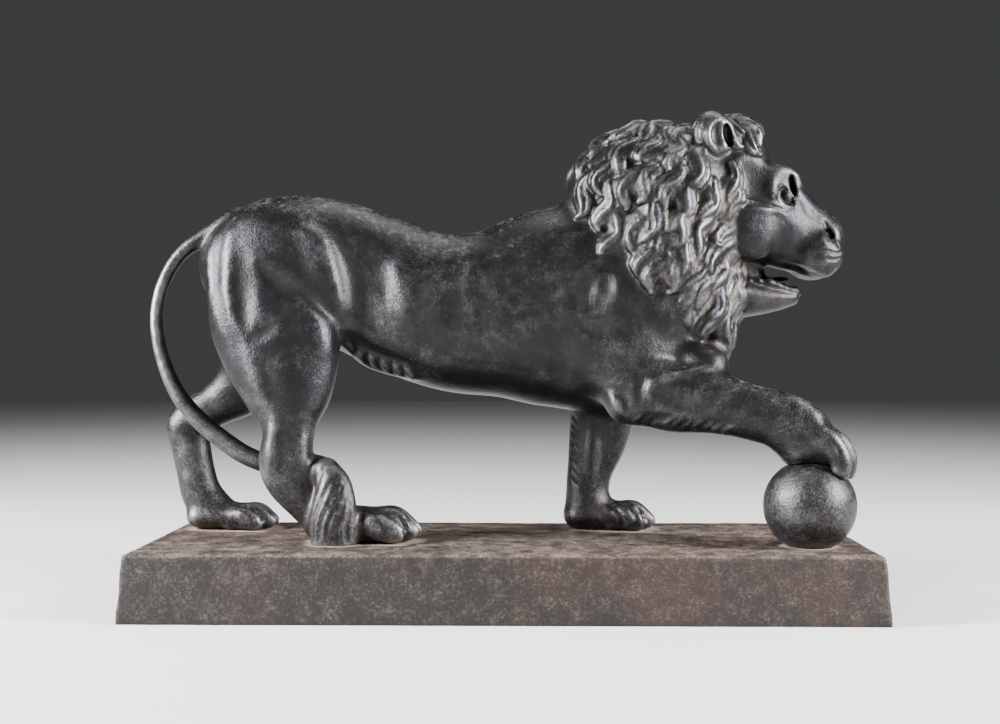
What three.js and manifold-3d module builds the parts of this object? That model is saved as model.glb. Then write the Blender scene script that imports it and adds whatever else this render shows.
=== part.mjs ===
// Cast iron lion walking with one forepaw on a ball, on a rectangular plinth.
// Millimetres, +Z up. The origin is the centre of the plinth's underside, and the lion faces +X.
// The lion is a field of blended masses, like clay limbs pressed together, and its skin is the
// surface where that field is zero.
import * as THREE from "three";
import { mergeVertices } from "three/addons/utils/BufferGeometryUtils.js";
import Module from "manifold-3d";

const wasm = await Module();
wasm.setup();

// Driving dimensions
const PLINTH_LENGTH = 300.6; // along the top
const PLINTH_WIDTH = 110;
const PLINTH_HEIGHT = 27.5;
const PLINTH_DRAFT = 1.9; // how far each side leans out at the foot
const PLINTH_CORNER = 4;
const PLINTH_ARRIS = 1.6; // softening of the top edge
const BALL_RADIUS = 19;
const BALL_CENTRE = { x: 126.3, y: -26, up: 16.7 };
const LION_SIDE = 8; // the lion's own middle lies this far behind the plinth's
const REST_GAP = 0.3; // between the paw and the ball

// Heights below are measured from the plinth's top, and sides from the lion's middle:
// minus is the lion's right side, where its raised paw is.
const RIGHT = -1;
const LEFT = 1;

// Stations of a limb or trunk: [x, side, up, half thickness seen from the side, half thickness across]
const TORSO = [
  [-112, 0, 118, 22, 16],
  [-98, 0, 120.5, 28, 22],
  [-78, 0, 117, 30.5, 22],
  [-60, 0, 110, 31.5, 20.5],
  [-40, 0, 101.7, 32.7, 22.5],
  [-20, 0, 97.1, 34.6, 25],
  [0, 0, 97.5, 36.9, 26.5],
  [20, 0, 99.5, 43, 27.5],
  [40, 0, 99, 45.5, 28],
  [56, 0, 93, 33, 25],
];
const TAIL = [
  [-118, 0, 138, 6, 6],
  [-131, 0, 131.3, 3.7, 3.7],
  [-142, -1, 123.3, 3.1, 3.1],
  [-149, -2, 111.6, 2.9, 2.9],
  [-152.2, -3, 98.3, 2.8, 2.8],
  [-151.3, -4, 85.5, 2.9, 2.9],
  [-147, -5, 71.5, 3.2, 3.2],
  [-141.2, -6, 60.5, 3.6, 3.6],
  [-132.8, -7, 50.8, 3.9, 3.9],
  [-122, -8, 42, 4.1, 4.1],
  [-111, -9, 35, 4.2, 4.2],
  [-98, -10.5, 31, 4.2, 4.2],
  [-87, -12.5, 31.4, 4.4, 4.4],
  [-79.5, -18, 31.6, 4.8, 4.6],
  [-74.5, -25, 30, 5.2, 5],
];
const TAIL_TUFT = [
  [-74.5, -25, 30, 5.4, 5],
  [-71, -29, 24.5, 7.4, 5.8],
  [-70.2, -31.3, 17, 9, 6.4],
  [-70.6, -32.3, 8.5, 9.9, 6.4],
  [-70.3, -32.5, -1, 9.6, 6],
];
const RIGHT_HIND = [
  [-100, -9, 113, 28, 13],
  [-99, -14, 97, 28, 13.5],
  [-94.5, -18, 79, 24.5, 13],
  [-92, -20, 66, 19.5, 11.5],
  [-91, -21, 55, 13.4, 9.6],
  [-91, -22, 44, 10.9, 8.4],
  [-92.3, -22, 34, 11.6, 8.4],
  [-91, -22, 27, 10.6, 8],
  [-83, -22, 16, 8.6, 7.8],
  [-75, -22, 9, 8.6, 8.8],
];
const LEFT_HIND = [
  [-103, 9, 113, 26, 13],
  [-106, 14, 95, 25, 13],
  [-109, 18, 78, 19.5, 12],
  [-119, 21, 65, 13.5, 10],
  [-133, 22, 55.5, 9.8, 8.6],
  [-145, 22, 47, 9.4, 8],
  [-143.4, 22, 38, 9, 7.6],
  [-141, 22, 26, 8.7, 7.6],
  [-138, 22, 15, 9.2, 8],
  [-132, 22, 8, 9, 9],
];
const LEFT_FORE = [
  [44, 14, 84, 24, 13],
  [46, 20, 66, 17, 12],
  [44.5, 23, 52, 14.8, 10.5],
  [42, 24, 39, 13, 9.6],
  [38.8, 24, 27, 10.4, 8.4],
  [37.6, 24, 18, 9.8, 8.2],
  [38.5, 24, 10, 10.5, 9.5],
  [44, 24, 6, 8.5, 10],
];
const RIGHT_FORE = [
  [50, -13, 88, 26, 13],
  [57.5, -20, 68, 16.5, 12],
  [69, -24, 61.2, 14.8, 11.5],
  [86, -28, 59, 13.2, 10.6],
  [103, -31, 54.8, 11.6, 9.4],
  [115, -33, 51.5, 11.8, 9.2],
  [124, -34, 46.5, 11.8, 9.8],
];
// The lower end of the upper arm, that stands out as the elbow
const ELBOW = { x: 52.5, side: -22.5, up: 58, reach: 9, width: 8 };

// Rounded masses: [x, side, up, half length, half width, half height, lean in degrees]
const MANE_MASSES = [
  [66, 0, 148.5, 39, 29, 31.5, 8],
  [71, 0, 121, 27, 30, 35, 14],
  [82.5, 0, 96.5, 17.5, 21, 25.5, 0],
];
const SKULL_MASSES = [
  [99, 0, 155, 17, 19.5, 23, 0],
  [100.5, 0, 169, 12.5, 14, 12.5, 0], // forelock
];
// Head masses that come in pairs, one on each side
const PAIRED_MASSES = [
  [104, 11.5, 133, 13, 8.5, 14, 0], // cheek
  [119.5, 8.5, 134.5, 9, 6, 7, -25], // cheekbone
  [135.5, 6.4, 121.6, 11, 7.6, 9.8, 8], // whisker pad
];
const NOSE_PAD = [143, 0, 130, 4.8, 7.4, 7.2, 0];
const EYE_SOCKET = [121, 13.8, 147, 5, 4, 4.8, 0];
const INNER_CORNER = [124.8, 7.4, 152.6, 2.4, 3.6, 5.4, 0];
const TEMPLE = [108.5, 21, 153, 7, 5.5, 8, 0];
const EYE = [120.3, 10.5, 146.8, 3.3, 3.1, 3.6, 0];
const NOSTRIL = [139.4, 7.6, 129.6, 1.7, 2, 2.4, 30];
const FACE = [
  [96, 0, 144, 25, 20],
  [109, 0, 142, 22.6, 17.5],
  [121, 0, 135, 18.2, 13],
  [131, 0, 128.6, 15.3, 10.5],
];
const NOSE_BRIDGE = [
  [116, 0, 150, 9, 6.5],
  [129, 0, 139, 6.6, 5.6],
  [140, 0, 132.5, 6.2, 5.6],
];
const LOWER_JAW = [
  [96, 0, 105, 11, 15],
  [110, 0, 103.8, 7.6, 12],
  [119, 0, 103.6, 5.4, 9.6],
  [125, 0, 103.8, 3.6, 7.2],
];
const THROAT = [103, 0, 114, 11, 6.5, 8, 0]; // closes the back of the mouth
const TONGUE = [112, 0, 108.8, 13, 5.5, 3, 14];
const ARMPIT = [85, -21, 75.5, 10, 9, 7, 0];
const EAR = { x: 88.5, side: 16.5, up: 169.6, length: 9.8, width: 6, height: 12 };
const BROW = [
  [112, 10.5, 157, 4.4, 4],
  [119, 9.4, 156.8, 4, 3.4],
  [124.6, 6.4, 155, 3.4, 3],
  [127, 3.4, 152, 3, 2.8],
];

// Muscles, tendons and folds that stand out of the skin or sink into it (a minus height):
// [x, up] of each point as seen from the side, then the half width and the height.
const THIGH_FOLDS = [
  { at: [[-124.8, 133], [-125.6, 114.3], [-121.5, 97], [-115, 84]], width: 4.6, height: 1.4 },
  { at: [[-117, 131], [-117.6, 113], [-114.6, 98], [-109, 86]], width: 5, height: 1.5 },
  { at: [[-110, 122], [-109, 104], [-109.5, 88]], width: 5.5, height: -1.4 },
  { at: [[-86, 131], [-80.5, 128], [-76, 119], [-72, 109], [-70, 96]], width: 7, height: 2.8 },
  { at: [[-87, 101.5], [-81, 95.5], [-76.5, 88], [-75, 80]], width: 7, height: 2.3 },
  { at: [[-103, 117], [-94.6, 110.5], [-84.7, 105], [-75, 96]], width: 4.6, height: -1.7 },
  { at: [[-106.2, 85], [-99.8, 87.5], [-94.4, 94.2]], width: 3, height: -1 },
  { at: [[-102, 112], [-92, 107]], width: 9, height: -1.1 },
  { at: [[-108, 82], [-104.5, 70], [-99.5, 58]], width: 5, height: 1.2 },
  { at: [[-99, 80], [-96.5, 68], [-94.5, 58]], width: 5, height: -1 },
  { at: [[-95.5, 53], [-98.5, 35]], width: 3.6, height: 1.3 },
  { at: [[-90, 50], [-93, 30]], width: 3, height: -1.3 },
  { at: [[-84, 46], [-83.5, 34], [-80, 24]], width: 3.8, height: 1.1 },
];
const TRUNK_FOLDS = [
  { at: [[-62, 122], [-56, 110], [-51, 95]], width: 12, height: -2 },
  { at: [[-72, 128], [-66, 117], [-62, 104], [-55, 92]], width: 6.5, height: -2.2 },
  { at: [[-47, 118], [-43.2, 108], [-42.6, 95]], width: 5.5, height: 1.6 },
  { at: [[-67, 83], [-61, 77.4], [-49.4, 73.2], [-37, 69.8]], width: 4, height: 2 },
  { at: [[-66, 88], [-60, 82.5], [-49.5, 77.8], [-40, 75]], width: 2.6, height: -1.2 },
  { at: [[-70, 89.5], [-66.4, 84], [-65, 78]], width: 2, height: -1.7 },
  { at: [[-31, 112], [-33, 96], [-30, 82]], width: 5, height: -0.5 },
  { at: [[-18, 114], [-20, 98], [-16, 82]], width: 5, height: -0.5 },
  { at: [[-5, 114], [-7, 98], [-3, 82]], width: 5, height: -0.5 },
  { at: [[41.5, 109], [39, 98]], width: 4.5, height: 1.3 },
  { at: [[22, 104], [29.5, 97], [33, 88]], width: 6, height: 1.4 },
  { at: [[30, 92.5], [40, 91], [50, 93]], width: 4.5, height: -1.5 },
  { at: [[27, 84], [25, 74], [27, 66]], width: 7, height: -1.6 },
  { at: [[43, 84], [48.5, 82.5], [54, 85]], width: 5.5, height: 1.2 },
  { at: [[64, 99], [71, 93], [78, 88]], width: 8, height: 2.2 },
  { at: [[66, 81], [75, 81], [84, 83]], width: 4.5, height: 1.4 },
];
const ARM_FOLDS = [
  { at: [[60.5, 71.5], [69, 73.5], [78, 76], [86, 77.5]], width: 3.2, height: -0.9 },
  { at: [[59.3, 61], [60.8, 65.5], [66, 68.6], [78.5, 71.9], [86, 73.2]], width: 3, height: 1.7 },
  { at: [[65, 66], [70, 61], [78, 57], [88, 55]], width: 5, height: -1.2 },
  { at: [[44.4, 64.8], [49.4, 62], [52.5, 56.3]], width: 3, height: -1.3 },
  { at: [[54, 58], [57.5, 64], [57, 71]], width: 3, height: -0.8 },
  { at: [[68, 51], [80, 50], [93, 51]], width: 4.4, height: -1 },
  { at: [[118, 61], [124, 58], [129, 52]], width: 5, height: 1.3 },
];
const STANDING_LEG_FOLDS = [
  { at: [[36.5, 66], [37, 50], [37, 30], [36, 20]], width: 2.6, height: 1.2 },
  { at: [[40, 64], [40.5, 46], [39.5, 30]], width: 2.2, height: -1.4 },
  { at: [[44, 64], [43, 50], [40.8, 33], [41, 22]], width: 2.8, height: 1.1 },
];

// Mane: locks stand in tiers between the face and the rear edge, all round the neck's axis.
const MANE = {
  axisUp: 122,
  front: 98, // tiers start here behind the face
  rear: 20, // where they end along the top
  rearSlope: 95, // how much further forward they end from there to the chest
  crownSlope: 6, // along the spine locks start further forward, for there they lie straight back
  rearBelow: 88, // and no further than this
  tierGap: 9.8,
  columns: 22,
  lockLength: 18,
  lockWidth: 4, // half width
  relief: 5,
  wave: 2.3, // how far a lock swings sideways
};
const LOCK_STEPS = 6;
const FRINGE = [158, 149, 140, 131, 121, 111]; // heights where the locks beside the face begin

const BODY_BLEND = 9;
const LIMB_BLEND = 7;
const FACE_BLEND = 5;
const FINE_BLEND = 2;
const GRID_ROOM = 5; // a little over the widest grid spacing
const FAR = 1e3;
const LION_FACES = 8350;
const FINE_FROM = { x: 16, up: 60 }; // the mane and head, ahead of and above this, keep more of their faces

// Field helpers: each shape is a function of x, side and up that is negative inside it.
const lerp = THREE.MathUtils.lerp;

function blendIn(a, b, reach) {
  const near = Math.max(reach - Math.abs(a - b), 0) / reach;
  return Math.min(a, b) - (near * near * reach) / 4;
}

function carveOut(a, b, reach) {
  return -blendIn(-a, b, reach);
}

function roundness(u, v, w, ru, rv, rw) {
  const flat = Math.hypot(u / ru, v / rv, w / rw);
  const steep = Math.hypot(u / (ru * ru), v / (rv * rv), w / (rw * rw));
  return steep < 1e-9 ? -Math.min(ru, rv, rw) : (flat * (flat - 1)) / steep;
}

// A shape keeps the ball that holds it, so that far points needn't be measured.
function shapeOf(centre, reach, distance) {
  return Object.assign(distance, { centre, reach });
}

const apart = (a, b) => Math.hypot(a[0] - b[0], a[1] - b[1], a[2] - b[2]);

function middleOf(line) {
  return [0, 1, 2].map((n) => {
    const places = line.map((s) => s[n]);
    return (Math.min(...places) + Math.max(...places)) / 2;
  });
}

function lump([x, side, up, length, width, height, lean]) {
  const angle = THREE.MathUtils.degToRad(lean);
  const c = Math.cos(angle);
  const s = Math.sin(angle);
  return shapeOf([x, side, up], Math.max(length, width, height), (px, py, pz) => {
    const dx = px - x;
    const dz = pz - up;
    return roundness(c * dx + s * dz, py - side, c * dz - s * dx, length, width, height);
  });
}

function smoothStations(stations, steps) {
  const centre = new THREE.CatmullRomCurve3(stations.map((s) => new THREE.Vector3(s[0], s[1], s[2])));
  const size = new THREE.CatmullRomCurve3(stations.map((s) => new THREE.Vector3(s[3], s[4], 0)));
  const count = (stations.length - 1) * steps;
  return Array.from({ length: count + 1 }, (_, i) => {
    const p = centre.getPoint(i / count);
    const r = size.getPoint(i / count);
    return [p.x, p.y, p.z, r.x, r.y];
  });
}

function limb(stations, steps = 4) {
  const line = smoothStations(stations, steps);
  const middle = middleOf(line);
  const reach = Math.max(...line.map((s) => apart(s, middle) + Math.max(s[3], s[4])));
  return shapeOf(middle, reach, (px, py, pz) => {
    let best = Infinity;
    for (let i = 0; i + 1 < line.length; i++) {
      const a = line[i];
      const b = line[i + 1];
      const [ex, ey, ez] = [b[0] - a[0], b[1] - a[1], b[2] - a[2]];
      const along = ((px - a[0]) * ex + (py - a[1]) * ey + (pz - a[2]) * ez) / (ex * ex + ey * ey + ez * ez);
      const t = Math.min(1, Math.max(0, along));
      const tall = lerp(a[3], b[3], t);
      const wide = lerp(a[4], b[4], t);
      const d = roundness(px - a[0] - t * ex, py - a[1] - t * ey, pz - a[2] - t * ez, tall, wide, tall);
      if (d < best) best = d;
    }
    return best;
  });
}

// Toes from one side of a paw to the other: place across, how far forward, height of the knuckle
const TOES = [
  [-1.5, 0.86, 0.52],
  [-0.5, 0.99, 0.64],
  [0.5, 1, 0.66],
  [1.5, 0.88, 0.54],
];

// A paw flat on the plinth, with its heel at x: an instep and four toes that arch over their knuckles
function paw({ x, side, length, height, width }) {
  const toes = TOES.map(([toe, reach, rise]) => {
    const tip = x + length * reach - height * 0.35;
    const across = side + toe * width * 0.26;
    return limb([
      [x + length * 0.45, side + toe * width * 0.18, height * 0.6, height * 0.3, width * 0.12],
      [tip - height * 0.42, across, height * rise, height * 0.37, width * 0.125],
      [tip, across, height * 0.36, height * 0.34, width * 0.12],
    ]);
  });
  const instep = limb([
    [x, side, height * 0.52, height * 0.52, width * 0.4],
    [x + length * 0.42, side, height * 0.52, height * 0.52, width * 0.43],
    [x + length * 0.62, side, height * 0.44, height * 0.44, width * 0.43],
  ]);
  return [instep, ...toes];
}

// The raised paw: a pad on top of the ball, and toes that curl down over its front
function grippingPaw() {
  const toes = TOES.map(([toe, reach]) => {
    const back = 30 * (1 - reach);
    return limb([
      [126, GRIP_SIDE + toe * 4.4, 46, 5.4, 3.2],
      [136.5 - back, GRIP_SIDE + toe * 6.4, 42.8, 5.2, 3.6],
      [140.8 - back, GRIP_SIDE + toe * 6.6, 36, 4.6, 3.5],
      [141 - back, GRIP_SIDE + toe * 6.6, 32.6, 4.1, 3.3],
    ]);
  });
  const back = limb([
    [118, GRIP_SIDE, 48, 11, 9.6],
    [126, GRIP_SIDE, 43.5, 9.6, 11],
    [131, GRIP_SIDE, 40, 7.5, 11],
  ]);
  return [back, lump([121, GRIP_SIDE, 40.5, 8, 10, 8, 0]), ...toes];
}

const GRIP_SIDE = -34;
const PAWS = [
  { x: -77, side: -22, length: 41.5, height: 14.5, width: 26 },
  { x: -139, side: 22, length: 35, height: 11.5, width: 24 },
  { x: 33, side: 24, length: 35, height: 12.5, width: 25 },
];

const pairedLump = ([x, side, up, ...rest], hand) => lump([x, hand * side, up, ...rest]);

function joined(shapes) {
  return (x, y, z) => {
    let d = FAR;
    for (const [shape, reach] of shapes) {
      const [cx, cy, cz] = shape.centre;
      const room = shape.reach + reach + GRID_ROOM;
      if ((x - cx) ** 2 + (y - cy) ** 2 + (z - cz) ** 2 < room * room) d = blendIn(d, shape(x, y, z), reach);
    }
    return d;
  };
}

function carved(field, shapes) {
  return (x, y, z) => {
    let d = field(x, y, z);
    for (const [shape, reach] of shapes) {
      const [cx, cy, cz] = shape.centre;
      const room = shape.reach + reach + GRID_ROOM;
      if ((x - cx) ** 2 + (y - cy) ** 2 + (z - cz) ** 2 < room * room) d = carveOut(d, shape(x, y, z), reach);
    }
    return d;
  };
}

const HANDS = [RIGHT, LEFT];
const trunk = [limb(TORSO), BODY_BLEND];
const maneMasses = MANE_MASSES.map((mass) => [lump(mass), BODY_BLEND]);
const skull = SKULL_MASSES.map((mass) => [lump(mass), FACE_BLEND]);
const elbow = lump([ELBOW.x, ELBOW.side, ELBOW.up, ELBOW.reach, ELBOW.width, ELBOW.reach, 0]);
const maneBase = joined([trunk, ...maneMasses, ...skull]);
const face = [
  ...skull,
  [limb(FACE), FACE_BLEND],
  [limb(NOSE_BRIDGE), FACE_BLEND],
  [limb(LOWER_JAW), FINE_BLEND],
  [lump(THROAT), FINE_BLEND],
  [lump(TONGUE), FINE_BLEND],
  ...HANDS.flatMap((hand) => PAIRED_MASSES.map((mass) => [pairedLump(mass, hand), 4])),
  [lump(NOSE_PAD), FINE_BLEND],
  ...HANDS.map((hand) => [limb(BROW.map(([x, side, ...rest]) => [x, hand * side, ...rest])), FINE_BLEND]),
];
const roughBody = joined([
  trunk,
  ...maneMasses,
  [limb(RIGHT_HIND), LIMB_BLEND],
  [limb(LEFT_HIND), LIMB_BLEND],
  [limb(LEFT_FORE), LIMB_BLEND],
  [limb(RIGHT_FORE), LIMB_BLEND],
  [elbow, FACE_BLEND],
  [lump(ARMPIT), LIMB_BLEND],
  ...face,
  ...[...PAWS.flatMap(paw), ...grippingPaw()].map((shape) => [shape, FINE_BLEND]),
  [limb(TAIL), FINE_BLEND],
  [limb(TAIL_TUFT), FINE_BLEND],
]);
const hollowed = carved(roughBody, [
  ...HANDS.flatMap((hand) => [
    [pairedLump(EYE_SOCKET, hand), 3],
    [pairedLump(INNER_CORNER, hand), 1.5],
    [pairedLump(TEMPLE, hand), 5],
    [pairedLump(NOSTRIL, hand), 1],
  ]),
]);
const eyes = HANDS.map((hand) => pairedLump(EYE, hand));

// The ear is a cupped leaf: a lump with a smaller lump scooped out of its front.
const earLeaf = HANDS.map((hand) => pairedLump([EAR.x, EAR.side, EAR.up, EAR.length, EAR.width, EAR.height, 8], hand));
const earCup = HANDS.map((hand) =>
  pairedLump([EAR.x + 4, EAR.side + 4, EAR.up - 1.5, EAR.length * 0.62, EAR.width, EAR.height * 0.6, 8], hand),
);

function withEyesAndEars(field) {
  const near = (shape, x, y, z) => {
    const [cx, cy, cz] = shape.centre;
    const room = shape.reach + GRID_ROOM + FINE_BLEND;
    return (x - cx) ** 2 + (y - cy) ** 2 + (z - cz) ** 2 < room * room;
  };
  return (x, y, z) => {
    let d = field(x, y, z);
    for (const eye of eyes) if (near(eye, x, y, z)) d = blendIn(d, eye(x, y, z), 0.6);
    for (const hand of [0, 1]) {
      if (near(earLeaf[hand], x, y, z)) {
        d = blendIn(d, earLeaf[hand](x, y, z), FINE_BLEND);
        d = carveOut(d, earCup[hand](x, y, z), 1);
      }
    }
    return d;
  };
}

// Where a straight line from outside first meets the field's surface, or null if it misses
function firstSkin(field, from, towards) {
  const length = Math.hypot(...towards);
  const way = towards.map((v) => v / length);
  for (let gone = 0; gone < 110; ) {
    const p = from.map((v, n) => v + way[n] * gone);
    const d = field(...p);
    if (d < 0.05) return p;
    gone += Math.min(Math.max(d * 0.7, 0.1), 4);
  }
  return null;
}

function slopeOf(field, p) {
  const e = 0.05;
  const slope = [0, 1, 2].map((n) => {
    const [more, less] = [[...p], [...p]];
    more[n] += e;
    less[n] -= e;
    return (field(...more) - field(...less)) / (2 * e);
  });
  const steep = Math.hypot(...slope) || 1;
  return { outward: slope.map((v) => v / steep), steep };
}

function settle(field, p) {
  let q = p;
  for (let pass = 0; pass < 3; pass++) {
    const { outward, steep } = slopeOf(field, q);
    const d = field(...q) / Math.max(steep, 0.3);
    q = q.map((v, n) => v - outward[n] * Math.min(2, Math.max(-2, d)));
  }
  return q;
}

// A stroke raises the skin along a path, or lowers it where its height is negative. Each place on the
// path is [x, side, up, half width, height].
function stroke(path) {
  const middle = middleOf(path);
  const reach = Math.max(...path.map((s) => apart(s, middle) + s[3]));
  return shapeOf(middle, reach, (px, py, pz) => {
    let rise = 0;
    for (let i = 0; i + 1 < path.length; i++) {
      const a = path[i];
      const b = path[i + 1];
      const [ex, ey, ez] = [b[0] - a[0], b[1] - a[1], b[2] - a[2]];
      const along = ((px - a[0]) * ex + (py - a[1]) * ey + (pz - a[2]) * ez) / (ex * ex + ey * ey + ez * ez);
      const t = Math.min(1, Math.max(0, along));
      const width = lerp(a[3], b[3], t);
      const gap = apart([px, py, pz], [a[0] + t * ex, a[1] + t * ey, a[2] + t * ez]);
      const off = (gap / width) ** 2;
      if (off >= 1) continue;
      const here = lerp(a[4], b[4], t) * (1 - off);
      if (Math.abs(here) > Math.abs(rise)) rise = here;
    }
    return rise;
  });
}

// A fold is drawn as seen from one side, and pressed onto the skin there.
function foldStroke({ at, width, height }, hand) {
  const fine = smoothStations(at.map(([x, up]) => [x, 0, up, width, height]), 3);
  const path = fine
    .map(([x, , up, w, h]) => {
      const skin = firstSkin(roughBody, [x, hand * 60, up], [0, -hand, 0]);
      return skin && [...skin, w, h];
    })
    .filter(Boolean);
  path.forEach((station, n) => {
    const fade = Math.sin(Math.PI * lerp(0.07, 0.93, n / (path.length - 1))) ** 0.7;
    station[3] *= Math.sqrt(fade);
    station[4] *= fade;
  });
  return stroke(path);
}

const folds = [
  ...[...THIGH_FOLDS, ...TRUNK_FOLDS, ...ARM_FOLDS].map((fold) => foldStroke(fold, RIGHT)),
  ...[...TRUNK_FOLDS, ...STANDING_LEG_FOLDS].map((fold) => foldStroke(fold, LEFT)),
];

// A steady stand-in for chance, between -1 and 1
function chance(seed) {
  const turn = Math.sin(seed * 12.9898) * 43758.5453;
  return 2 * (turn - Math.floor(turn)) - 1;
}

// One lock: it leaves its root along the flow, swings from side to side on the skin, and stands
// highest just before its tip.
function lockStroke(root, flow, seed, size = 1) {
  const { lockLength, lockWidth, relief, wave } = MANE;
  const step = (lockLength * size * (1 + 0.15 * chance(seed + 3))) / LOCK_STEPS;
  const first = chance(seed) * Math.PI;
  const flatter = Math.min(1, Math.max(0.5, 0.5 + (root[0] - 30) / 40)); // towards the back
  const path = [];
  let p = settle(maneBase, root);
  for (let n = 0; n <= LOCK_STEPS; n++) {
    const t = n / LOCK_STEPS;
    const { outward } = slopeOf(maneBase, p);
    const pull = flow(p);
    const inward = pull.reduce((sum, v, m) => sum + v * outward[m], 0);
    let way = pull.map((v, m) => v - inward * outward[m]);
    const length = Math.hypot(...way) || 1;
    way = way.map((v) => v / length);
    const across = [
      outward[1] * way[2] - outward[2] * way[1],
      outward[2] * way[0] - outward[0] * way[2],
      outward[0] * way[1] - outward[1] * way[0],
    ];
    const swing = wave * size * Math.sin(first + t * Math.PI * 2.2);
    const lift = 0.4 + 1.2 * t;
    const swell = 0.75 + 0.45 * Math.sin(Math.PI * Math.min(1, t * 1.1));
    const width = lockWidth * size * swell * (t > 0.9 ? 0.6 : 1);
    const rise = relief * size * flatter * (t < 0.1 ? 0.5 : t > 0.9 ? 0.8 : 0.7 + 0.4 * t);
    path.push([...p.map((v, m) => v + across[m] * swing + outward[m] * lift * 0.4), width, rise]);
    p = settle(maneBase, p.map((v, m) => v + way[m] * step));
  }
  return stroke(path);
}

function maneLocks() {
  const locks = [];
  const earRoom = 9;
  const free = (p) => HANDS.every((hand) => apart(p, [EAR.x, hand * EAR.side, EAR.up]) > earRoom);
  // Down, and back from the face, as far as the skin lets it
  const away = (p) => [-0.45, 0.15 * Math.sign(p[1]), -1];
  for (let column = 0; column < MANE.columns; column++) {
    const turn = (2 * Math.PI * (column + 0.5)) / MANE.columns;
    const fromTop = Math.min(turn, 2 * Math.PI - turn) / Math.PI;
    const crown = 16 * Math.max(0, 1 - MANE.crownSlope * fromTop);
    const rear = Math.min(MANE.rearBelow, MANE.rear + crown + MANE.rearSlope * fromTop);
    const tiers = Math.max(1, Math.round((MANE.front - rear) / MANE.tierGap));
    for (let tier = 0; tier <= tiers; tier++) {
      const seed = column * 17 + tier * 5;
      const share = (tier + (column % 2 ? 0.5 : 0)) / (tiers + 0.5);
      const x = lerp(rear, MANE.front, share) + chance(seed + 1) * 1.5;
      const angle = turn + chance(seed + 2) * 0.07;
      const way = [0, Math.sin(angle), Math.cos(angle)];
      const skin = firstSkin(maneBase, [x, way[1] * 70, MANE.axisUp + way[2] * 70], way.map((v) => -v));
      if (skin && free(skin)) locks.push(lockStroke(skin, away, seed));
    }
  }
  // The fringe beside each cheek
  for (const hand of HANDS)
    for (const up of FRINGE) {
      const skin = firstSkin(maneBase, [97, hand * 60, up], [0, -hand, 0]);
      if (skin) locks.push(lockStroke(skin, () => [-0.12, 0, -1], up + hand));
    }
  // The beard down the front of the chest
  for (const [up, sides] of [[97, [-15, -8, 0, 8, 15]], [86, [-11, -4, 4, 11]]])
    for (const side of sides) {
      const skin = firstSkin(maneBase, [125, side, up], [-1, 0, 0]);
      if (skin) locks.push(lockStroke(skin, () => [-0.1, 0, -1], side + up));
    }
  // The forelock, combed forward over the brow
  for (const side of [-11, -5.5, 0, 5.5, 11]) {
    const skin = firstSkin(maneBase, [100 - Math.abs(side) * 0.2, side, 200], [0, 0, -1]);
    if (skin) locks.push(lockStroke(skin, () => [0.7, side * 0.02, -0.7], side, 0.9));
  }
  return locks;
}

// The tail's tuft is combed into strands that fan out over the foot.
function tuftStrands() {
  return [-2, -1, 0, 1, 2].map((n) => {
    const at = [
      [-71 + n * 0.8, 31],
      [-67 + n * 2, 24],
      [-69 + n * 3.4, 14],
      [-71 + n * 3.6, 5],
      [-69 + n * 3.4, 1],
    ];
    return foldStroke({ at, width: 1.5, height: -1.5 }, RIGHT);
  });
}

function strokesOn(field, strokes, pick) {
  return (x, y, z) => {
    let rise = 0;
    for (const shape of strokes) {
      const [cx, cy, cz] = shape.centre;
      if ((x - cx) ** 2 + (y - cy) ** 2 + (z - cz) ** 2 < shape.reach ** 2) rise = pick(rise, shape(x, y, z));
    }
    return field(x, y, z) - rise;
  };
}

const add = (a, b) => a + b;
const modelled = strokesOn(hollowed, [...folds, ...tuftStrands()], add);
const lionField = withEyesAndEars(strokesOn(modelled, maneLocks(), Math.max));

// Grid lines from one place to the next, with spacing that suits each stretch.
function gridLines(stops) {
  const lines = [stops[0][0]];
  for (let i = 0; i + 1 < stops.length; i++) {
    const [from, spacing] = stops[i];
    const span = stops[i + 1][0] - from;
    const count = Math.round(span / spacing);
    for (let n = 1; n <= count; n++) lines.push(from + (span * n) / count);
  }
  return lines;
}

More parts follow.
